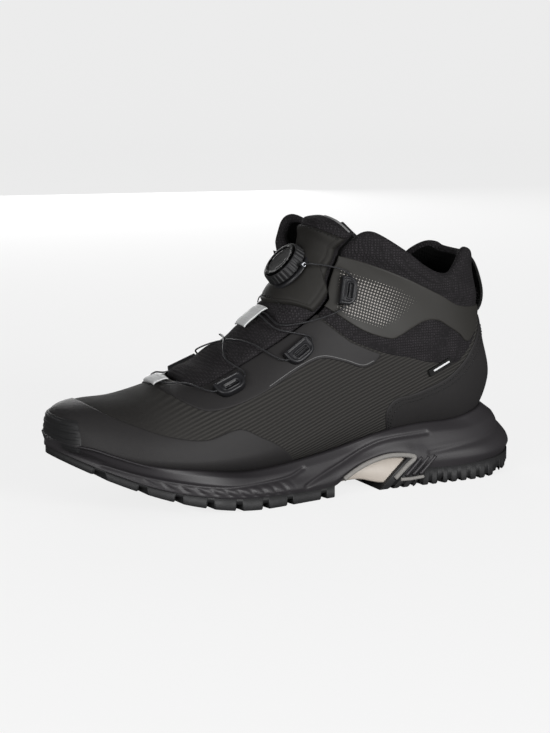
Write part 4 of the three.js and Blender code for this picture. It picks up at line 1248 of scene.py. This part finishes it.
def guide_shape(length, depth):
    """Outline of a guide in its own plane: straight towards the throat, round behind."""
    half = length / 2
    turn = np.linspace(0, np.pi, 25)
    arc = np.stack([half * np.sign(np.cos(turn)) * np.abs(np.cos(turn)) ** 0.62,
                    depth * (0.3 + 0.7 * np.sin(turn) ** 0.8)], 1)
    return np.vstack([[(-half, 0), (half, 0)], arc]) - [0, depth / 2]


def guides():
    for word, side in SIDES:
        for place, spec in GUIDES.items():
            guide(f"{place}_{word}", spec, side)


def guide(word, spec, side):
    origin, normal, along, away = guide_frame(spec, side)
    _, _, length, depth = spec
    outline = guide_shape(length, depth)
    step = 0.3
    a, w = np.meshgrid(np.arange(-length / 2 - 1, length / 2 + 1, step),
                       np.arange(-depth / 2 - 1, depth / 2 + 1, step))
    flat = np.stack([a.ravel(), w.ravel()], 1)
    hand = 1 if np.cross(along, away) @ normal > 0 else -1
    p = origin + flat[:, :1] * along + flat[:, 1:] * away
    tris = grid_triangles(a.shape)
    data = np.column_stack([p, np.tile(normal, (len(p), 1)), flat])

    def window(st):
        """Signed distance inside the recessed window, which leaves a frame round the guide."""
        x, y = st.T
        return 1.1 - np.hypot(np.maximum(np.abs(x) - length * 0.2, 0), np.maximum(np.abs(y - 0.6) - 0.5, 0))

    def top(p, st, d):
        frame_height = GUIDE_TOP - 1.2 * (1 - edge(d, 1.3))
        valley = 0.9 * ramp(d, 1.5, 2.2) * (1 - ramp(window(st), -1.3, -0.7))
        sunk = 2.2 * ramp(window(st), -0.15, 0.2)
        slot_at = np.abs(st[:, 1] + depth / 2 - 1.5)
        slot_end = ramp(np.abs(st[:, 0]), length / 2 - 2.5, length / 2 - 2)
        slot_cut = 0.8 * (1 - ramp(slot_at, 0.3, 0.7)) * (1 - slot_end)
        return frame_height - valley * 0.8 - sunk - slot_cut

    sheet(f"guide_{word}_form", (data, tris[:, ::hand]), [lambda p, st: inside(outline, st)], top,
          lambda p, st, d: GUIDE_FOOT, PLASTIC, f"guide_{word}", levels=(0.15, 0.5, 1.3))


def instep_point(y, v, level):
    """A point over the instep, y to the side of the ridge at station v."""
    station = np.array([v])
    u = instep_turn(np.array([y]), station)
    return (last(u, station) + last_normal(u, station) * level)[0]


DIAL_CENTRE = np.array([-109.5, 0, 135])
DIAL_TILT = math.radians(-48.2)
DIAL_TURN = np.array([[math.cos(DIAL_TILT), 0, math.sin(DIAL_TILT)], [0, 1, 0],
                      [-math.sin(DIAL_TILT), 0, math.cos(DIAL_TILT)]])


def dial_place(points):
    return DIAL_CENTRE + np.asarray(points, float) @ DIAL_TURN.T


def through(place, side):
    """The lace's points in a guide: at its rear end, its middle and its front end."""
    spec = GUIDES[place]
    half = spec[2] / 2
    return [guide_place(spec, side, half + 1.5, -1.5, LACE_LEVEL),
            guide_place(spec, side, 0, 0.5, LACE_LEVEL),
            guide_place(spec, side, -half - 1.5, -1.5, LACE_LEVEL)]


def lace():
    """One run of wire, in pieces; the front piece is attached to the boot, the others are left without a
    body.
    """
    spans = 12
    for word, side in SIDES:
        lift = -0.9 * side
        run = [dial_place([4, side * 17.2, 1.4]), dial_place([4, side * 19.5, 1.4]),
               dial_place([6, side * 23, 0.6]), *through("upper", side)[:2]]
        made = tube(f"lace_run_{word}", centripetal(np.array(run), spans), LACE_R, CABLE, "lace_cable", None)
        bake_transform(made)
        across = [
            *through("upper", side)[1:], instep_point(side * 23, 7.05, 5),
            instep_point(side * 8, 6.95, 5.4 + lift), instep_point(-side * 8, 6.85, 5.4 - lift),
            instep_point(-side * 22, 6.9, 4), *through("middle", -side), instep_point(-side * 21, 6.3, 4.2),
            instep_point(0, 6.05, 4.4 + lift), instep_point(side * 21, 5.75, 4), *through("lower", side)[:2]]
        line = centripetal(np.array(across), spans)
        for half_word, half in SIDES:
            split_runs(line, half, f"lace_{word}_{half_word}")
    front = [*through("lower", LATERAL)[1:], *[instep_point(*at) for at in LACE_FRONT],
             *through("lower", MEDIAL)[1:][::-1]]
    tube("lace_front", centripetal(np.array(front), spans), LACE_R, CABLE, "lace_cable")


def split_runs(line, half, name):
    """The parts of a line on one side of the boot, each cut off where the line crosses to the other side."""
    on_half = half * line[:, 1] > 0
    starts = [k for k in range(len(line)) if on_half[k] and (k == 0 or not on_half[k - 1])]
    for number, start in enumerate(starts):
        stop = start
        while stop < len(line) and on_half[stop]:
            stop += 1
        part = line[max(start - 1, 0):stop + 1].copy()
        for k in (0, -1):
            if half * part[k, 1] < 0:
                other = part[1] if k == 0 else part[-2]
                share = other[1] / (other[1] - part[k, 1])
                part[k] = other + (part[k] - other) * share
        made = tube(f"{name}_{number}", part, LACE_R, CABLE, "lace_cable", None)
        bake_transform(made)


def keeper(name, node, low, high, level, half_width, body):
    """A soft ribbon across the ridge that holds the lace down."""
    fields = [stations(low, high), lambda p, st: half_width - np.abs(st[:, 0])]

    def arch(p, st):
        v = (st[:, 1] / STATION - low) / (high - low)
        return level - 1.1 * (2 * v - 1) ** 4 - 0.5 * (np.abs(st[:, 0]) / half_width) ** 3

    sheet(name, instep_grid(14, 60, low - 0.05, high + 0.05, 30), fields,
          lambda p, st, *d: arch(p, st) + 0.45 * edge(np.min(d, axis=0), 0.3),
          lambda p, st, *d: arch(p, st) - 0.45, RIBBON, node, body, levels=(0.1, 0.3))


guides()
lace()
keeper("ribbon_lower", "lace_keeper_lower", 4.5, 4.78, 4.3, 8, BOOT)
keeper("ribbon_upper", "lace_keeper_upper", 6.45, 7.1, 7.4, 6.5, TONGUE)

# ------------------------------------------------------------------ dial, in its own frame
KNOB_R = 14.6
FACE_R = 12.2
GRIP_RIBS = 28


def lathe(name, profile, node, material, body, segments=96, ribs=None):
    """A turned part from (radius, height) points; ribs(profile row, turn) adds to the radius."""
    rows = []
    turn = 2 * np.pi * np.arange(segments) / segments
    for k, (r, z) in enumerate(profile):
        radius = r + (ribs(k, turn) if ribs else 0)
        rows.append(np.stack([radius * np.cos(turn), radius * np.sin(turn), np.full(segments, float(z))], 1))
    uv = np.vstack([np.column_stack([turn * 14, np.full(segments, float(z))]) for _, z in profile])
    piece(name, dial_place(np.vstack(rows)), bands(len(profile), segments), material, node, body, uv,
          merge=0.005)


def rounded(points, radius=0.4, steps=4):
    """A profile whose corners are eased with small arcs; the ends stay where they are."""
    points = [np.array(p, float) for p in points]
    out = [points[0]]
    for before, corner, after in zip(points[:-2], points[1:-1], points[2:]):
        to, on = before - corner, after - corner
        reach = min(radius, np.linalg.norm(to) / 2.2, np.linalg.norm(on) / 2.2)
        a = corner + to / np.linalg.norm(to) * reach
        b = corner + on / np.linalg.norm(on) * reach
        for t in np.linspace(0, 1, steps):
            out.append((1 - t) ** 2 * a + 2 * t * (1 - t) * corner + t ** 2 * b)
    return [*out, points[-1]]


def dial():
    segments = 336
    grip = rounded([(13, 1.0), (14.2, 1.0), (KNOB_R, 1.6), (KNOB_R - 0.9, 6.6), (13.1, 7.6), (12.3, 7.7),
                    (12.3, 7.0), (13, 6.8), (13, 1.0)], 0.35)
    ribbed = [i for i, (r, z) in enumerate(grip) if r > 13.3 and 1.2 < z < 7.3]

    def grip_ribs(row, turn):
        if row not in ribbed:
            return 0.0
        return -0.55 * np.clip(0.5 - 1.4 * np.sin(GRIP_RIBS * turn), 0, 1)

    lathe("knob_grip", grip, "dial_knob_grip", RUBBER, KNOB, segments, grip_ribs)
    face = rounded([(0.01, 7.2), (FACE_R, 7.2), (FACE_R, 7.9), (11.2, 8.5), (9.4, 8.45), (9.0, 8.25),
                    (0.01, 8.35)], 0.5)
    lathe("knob_face", face, "dial_knob_face", GLOSSY, KNOB)
    flange = rounded([(12.9, -1.6), (16, -1.6), (16, -0.9), (15.2, 0.1), (13.2, 0.3), (12.9, 0.1),
                      (12.9, -1.6)], 0.5)
    lathe("dial_rim", flange, "dial_flange", PLASTIC, TONGUE)
    ticks()
    for word, side in SIDES:
        ferrule(word, side)


def ferrule(word, side):
    """The metal sleeve where the lace leaves the dial."""
    profile = rounded([(0.75, 0), (1.7, 0), (1.7, 2.3), (1.3, 2.6), (0.75, 2.6), (0.75, 0)], 0.25)
    count = 32
    turn = 2 * np.pi * np.arange(count) / count
    rows = [np.stack([4 + r * np.cos(turn), side * (16.4 + z) + 0 * turn, 1.4 + r * np.sin(turn)], 1)
            for r, z in profile]
    faces = [face[::side] for face in bands(len(profile), count)]
    piece(f"ferrule_{word}", dial_place(np.vstack(rows)), faces, STEEL, f"dial_ferrule_{word}", TONGUE,
          merge=0.005)


def ticks():
    """Generic light marks on the knob's face: a ring of short lines and two arc arrows."""
    points, faces = [], []

    def bar(loop, level=8.42, thick=0.1):
        start = len(points)
        for z in (level, level + thick):
            points.extend([(x, y, z) for x, y in loop])
        n = len(loop)
        faces.extend(caps(2, n, start)[::-1] + bands(2, n, start))

    def polar(r, a):
        return r * math.cos(a), r * math.sin(a)

    for k in range(12):
        a = 2 * math.pi * k / 12 + 0.1
        w = 0.035 if k % 3 else 0.07
        bar([polar(9.7, a - w), polar(10.8, a - w), polar(10.8, a + w), polar(9.7, a + w)])
    for start in (0.5, 0.5 + math.pi):
        arc = np.linspace(start, start + 1.1, 12)
        bar([*[polar(7.6, a) for a in arc], *[polar(6.9, a) for a in arc[::-1]]], 8.3)
        tip = start + 1.4
        bar([polar(6.4, tip - 0.3), polar(8.1, tip - 0.3), polar(7.25, tip)], 8.3)
    piece("face_marks", dial_place(points), faces, PRINT, body=KNOB, merge=0)


dial()

# ------------------------------------------------------------------ seams and small parts
def stitch_points(line, side, level, pitch):
    """Pairs of skin points for stitches along a side line."""
    curve = fine(line, 12)
    u, v = locate(curve, side)
    p = last(u, v) + last_normal(u, v) * level
    p = p[np.isfinite(p).all(1)]
    total = np.linalg.norm(np.diff(p, axis=0), axis=1).sum()
    count = max(int(total / pitch), 1)
    return evenly(p, 3 * count + 1)


def stitches(name, runs, body=BOOT, radius=0.42):
    """Thread stitches: short rods along runs of evenly spaced points, three points a stitch."""
    points, faces = [], []
    sides = 6
    turn = 2 * np.pi * np.arange(sides) / sides
    for run in runs:
        for k in range(0, len(run) - 2, 3):
            a, b = run[k], run[k] + (run[k + 2] - run[k]) * 0.98
            axis = (b - a) / np.linalg.norm(b - a)
            up = np.cross(axis, [0.31, 0.2, 0.93])
            up /= np.linalg.norm(up)
            side = np.cross(axis, up)
            start = len(points)
            for share, width in ((0.0, 0.45), (0.15, 1.0), (0.85, 1.0), (1.0, 0.45)):
                centre = a + (b - a) * share
                for t in turn:
                    points.append(centre + radius * width * (math.cos(t) * up + math.sin(t) * side))
            faces += bands(4, sides, start) + caps(4, sides, start)
    piece(name, points, faces, THREAD, body=body, merge=0)


def shifted(line, dx, dz):
    return [(x + dx, z + dz) for x, z in line]


def seams():
    counter = [(-54, 33), *HEEL_LINE[1:9], (13, 97)]
    level = 0.25 + FILM
    for word, side in SIDES:
        runs = [stitch_points(shifted(counter, 2.0, -2.0), side, level, 2.6),
                stitch_points(shifted(counter, 4.6, -4.0), side, level, 2.6)]
        stitches(f"counter_stitches_{word}", runs)
    panel_low = [instep_on_tongue(y, PANEL_FROM + 0.13) for y in np.linspace(-19, 19, 60)]
    panel_top = [instep_on_tongue(y, PANEL_TO - 0.18) for y in np.linspace(-20, 20, 60)]
    runs = []
    for line in (panel_low, panel_top):
        line = np.array(line)
        total = np.linalg.norm(np.diff(line, axis=0), axis=1).sum()
        runs.append(evenly(line, 3 * int(total / 2.6) + 1))
    stitches("panel_stitches", runs, TONGUE)


def instep_on_tongue(y, v):
    rise = crown(np.array([[y, v * STATION]]))[0] + 1.55
    return instep_point(y, v, rise)


def skin_patch(outline, side, step):
    """A fine piece of the surface around a side-view outline, in the surface columns."""
    u, v = locate(outline, side)
    u, v = np.meshgrid(np.arange(u.min() - 0.06, u.max() + 0.06, step / GIRTH_UNIT),
                       np.arange(v.min() - 0.15, v.max() + 0.15, step / 30))
    return surface(u, v, u * GIRTH_UNIT, v * LENGTH_UNIT), grid_triangles(u.shape)


def label():
    """A small woven tag on the lateral side, with a light stripe along it."""
    zone = np.array([(-30, 67.5), (-14, 74.5), (-16, 78.5), (-32, 71.5)], float)
    sheet("label_tag", skin_patch(zone, LATERAL, 0.5), [field_inside(zone)],
          lambda p, st, d: 1.7 + 0.7 * edge(d, 0.5), lambda p, st, d: 1.3, WEBBING, "side_label",
          levels=(0.15, 0.5))
    cord("label_stripe", np.linspace((-28.4, 71.2), (-17.2, 76.1), 20), 2.35, 0.65, PRINT_WHITE)


def cord(name, line, level, radius, material):
    """A fine round line laid on the lateral side."""
    u, v = locate(line, LATERAL)
    tube(name, last(u, v) + last_normal(u, v) * level, radius, material)


def eyestay_print():
    """A fine reflective line along the eyestay's lower edge."""
    line = fine([(x, z + 1.6) for x, z in EYESTAY_LINE[5:11]], 12)
    cord("eyestay_line", line, 0.25 + FILM - 0.08, 0.22, PRINT)


def tongue_binding():
    """The light edge tape at the top of the tongue's lateral side."""
    line = [instep_point(y, 13.38 - 0.8 * (abs(y) / 25) ** 4, -1.4) for y in np.linspace(-23, -5, 30)]
    tube("tongue_edge_tape", np.array(line), 0.9, PRINT, body=TONGUE)


def pull_tab():
    """A webbing loop sewn to the back of the heel."""
    outer = np.array([(17.5, 101), (20.5, 102.5), (22.8, 107), (24.2, 116), (24.2, 126),
                      (22.8, 132.6), (19.8, 136.6), (15.5, 137.6)])
    centre_line = spline(outer, np.linspace(0, len(outer) - 1, 60))
    run = np.gradient(centre_line, axis=0)
    run /= np.linalg.norm(run, axis=1, keepdims=True)
    normal = np.stack([run[:, 1], -run[:, 0]], 1)
    across = [(-7, 0.0), (-6.8, 0.75), (-6, 1.0), (-2, 1.15), (2, 1.15), (6, 1.0), (6.8, 0.75), (7, 0.0),
              (6.8, -0.75), (6, -1.0), (-6, -1.0), (-6.8, -0.75)]
    points = []
    for (x, z), (nx, nz) in zip(centre_line, normal):
        for y, h in across:
            points.append((x + nx * h, 0.5 + y, z + nz * h))
    points = np.array(points)
    points[:, 0] -= heel_tuck(points)
    n = len(across)
    rows = len(centre_line)
    piece("pull_loop", points, bands(rows, n) + caps(rows, n), WEBBING, "heel_pull_tab", merge=0.01)


seams()
label()
eyestay_print()
tongue_binding()
pull_tab()

# ------------------------------------------------------------------ inner parts kept from the CAD
KEPT = {"lasting_board": BOARD, "dial_housing": PLASTIC,
        "dial_screw": STEEL, "dial_bush": STEEL, "dial_spool": PLASTIC, "dial_pawl_disc": PLASTIC,
        "dial_knob_core": PLASTIC}
for node, material in KEPT.items():
    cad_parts[node].data.materials.clear()
    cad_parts[node].data.materials.append(material)

# ------------------------------------------------------------------ stage, light and camera
TARGET = Vector((-112 * MM, 0, 80 * MM))
VIEW_DISTANCE = 1300 * MM
VIEW_AZIMUTH = math.radians(-25.5)
VIEW_ELEVATION = math.radians(9.5)
LENS = 104.4
SENSOR = 36
SHIFT = (-0.0131, -0.0124)

PAPER_GLOW = 0.8           # of the sweep, for the camera only
BACKGROUND = 0.896         # of the world, as the camera sees it
AMBIENT = 0.22             # of the world, as it lights the boot
SWEEP_HALF = 6             # the sweep's half width, metres
SWEEP_FRONT = -5
SWEEP_BEND = 3             # where the floor begins to curve up
SWEEP_RADIUS = 1.5
# place, size and watts
LAMPS = {"key": ((0.4, -1.85, 0.45), 0.8, 42), "fill": ((-1.5, -0.9, 0.15), 1.2, 30),
         "back": ((0.3, 1.9, 0.45), 1.0, 18)}


def aimed(name, data, place, direction):
    """Puts a camera or a lamp in place, looking along the direction."""
    obj = added(name, data)
    obj.location = place
    obj.rotation_mode = "QUATERNION"
    obj.rotation_quaternion = direction.to_track_quat("-Z", "Y")
    return obj


def camera():
    data = bpy.data.cameras.new("camera")
    data.lens = LENS
    data.sensor_width = SENSOR
    data.shift_x, data.shift_y = SHIFT
    back = Vector((math.sin(VIEW_AZIMUTH) * math.cos(VIEW_ELEVATION),
                   -math.cos(VIEW_AZIMUTH) * math.cos(VIEW_ELEVATION), math.sin(VIEW_ELEVATION)))
    bpy.context.scene.camera = aimed("camera", data, TARGET + back * VIEW_DISTANCE, -back)


def lamp(name, place, size, power):
    data = bpy.data.lights.new(name, "AREA")
    data.size = size
    data.energy = power
    aimed(name, data, place, TARGET - Vector(place))


def camera_only(tree):
    """1 for rays that come straight from the camera, 0 for light bouncing about."""
    return tree.nodes.new("ShaderNodeLightPath").outputs["Is Camera Ray"]


def studio():
    """A pale sweep that keeps its brightness for the camera, with three lamps around the boot."""
    paper = Finish("paper", (104, 104, 104), 0.9, specular=0.0)
    paper.mottle(2, (102, 102, 102), 0.3)
    paper.shader.inputs["Emission Color"].default_value = (1, 1, 1, 1)
    glow = paper.math("MULTIPLY", camera_only(paper.tree), PAPER_GLOW)
    paper.tree.links.new(glow, paper.shader.inputs["Emission Strength"])
    across = np.linspace(-SWEEP_HALF, SWEEP_HALF, 25)
    turn = np.linspace(0, math.pi / 2, 16)
    bend = [(SWEEP_BEND + SWEEP_RADIUS * math.sin(a), SWEEP_RADIUS - SWEEP_RADIUS * math.cos(a))
            for a in turn]
    profile = [(SWEEP_FRONT, 0), *bend, (SWEEP_BEND + SWEEP_RADIUS, SWEEP_HALF)]
    points = [(x / MM, y / MM, z / MM) for x in across for y, z in profile]
    rows = len(profile)
    faces = [(i * rows + k, i * rows + rows + k, i * rows + rows + k + 1, i * rows + k + 1)
             for i in range(len(across) - 1) for k in range(rows - 1)]
    sweep = piece("paper_sweep", points, faces, paper.material, body=None, merge=0)
    sweep.rotation_euler[2] = VIEW_AZIMUTH
    world = bpy.data.worlds.new("world")
    world.use_nodes = True
    tree = world.node_tree
    tree.nodes["Background"].inputs[0].default_value = (1, 1, 1, 1)
    strength = tree.nodes.new("ShaderNodeMapRange")
    tree.links.new(camera_only(tree), strength.inputs["Value"])
    strength.inputs["To Min"].default_value = AMBIENT
    strength.inputs["To Max"].default_value = BACKGROUND
    tree.links.new(strength.outputs[0], tree.nodes["Background"].inputs[1])
    bpy.context.scene.world = world
    bpy.context.scene.view_settings.view_transform = "Standard"
    for name, spec in LAMPS.items():
        lamp(name, *spec)


camera()
studio()
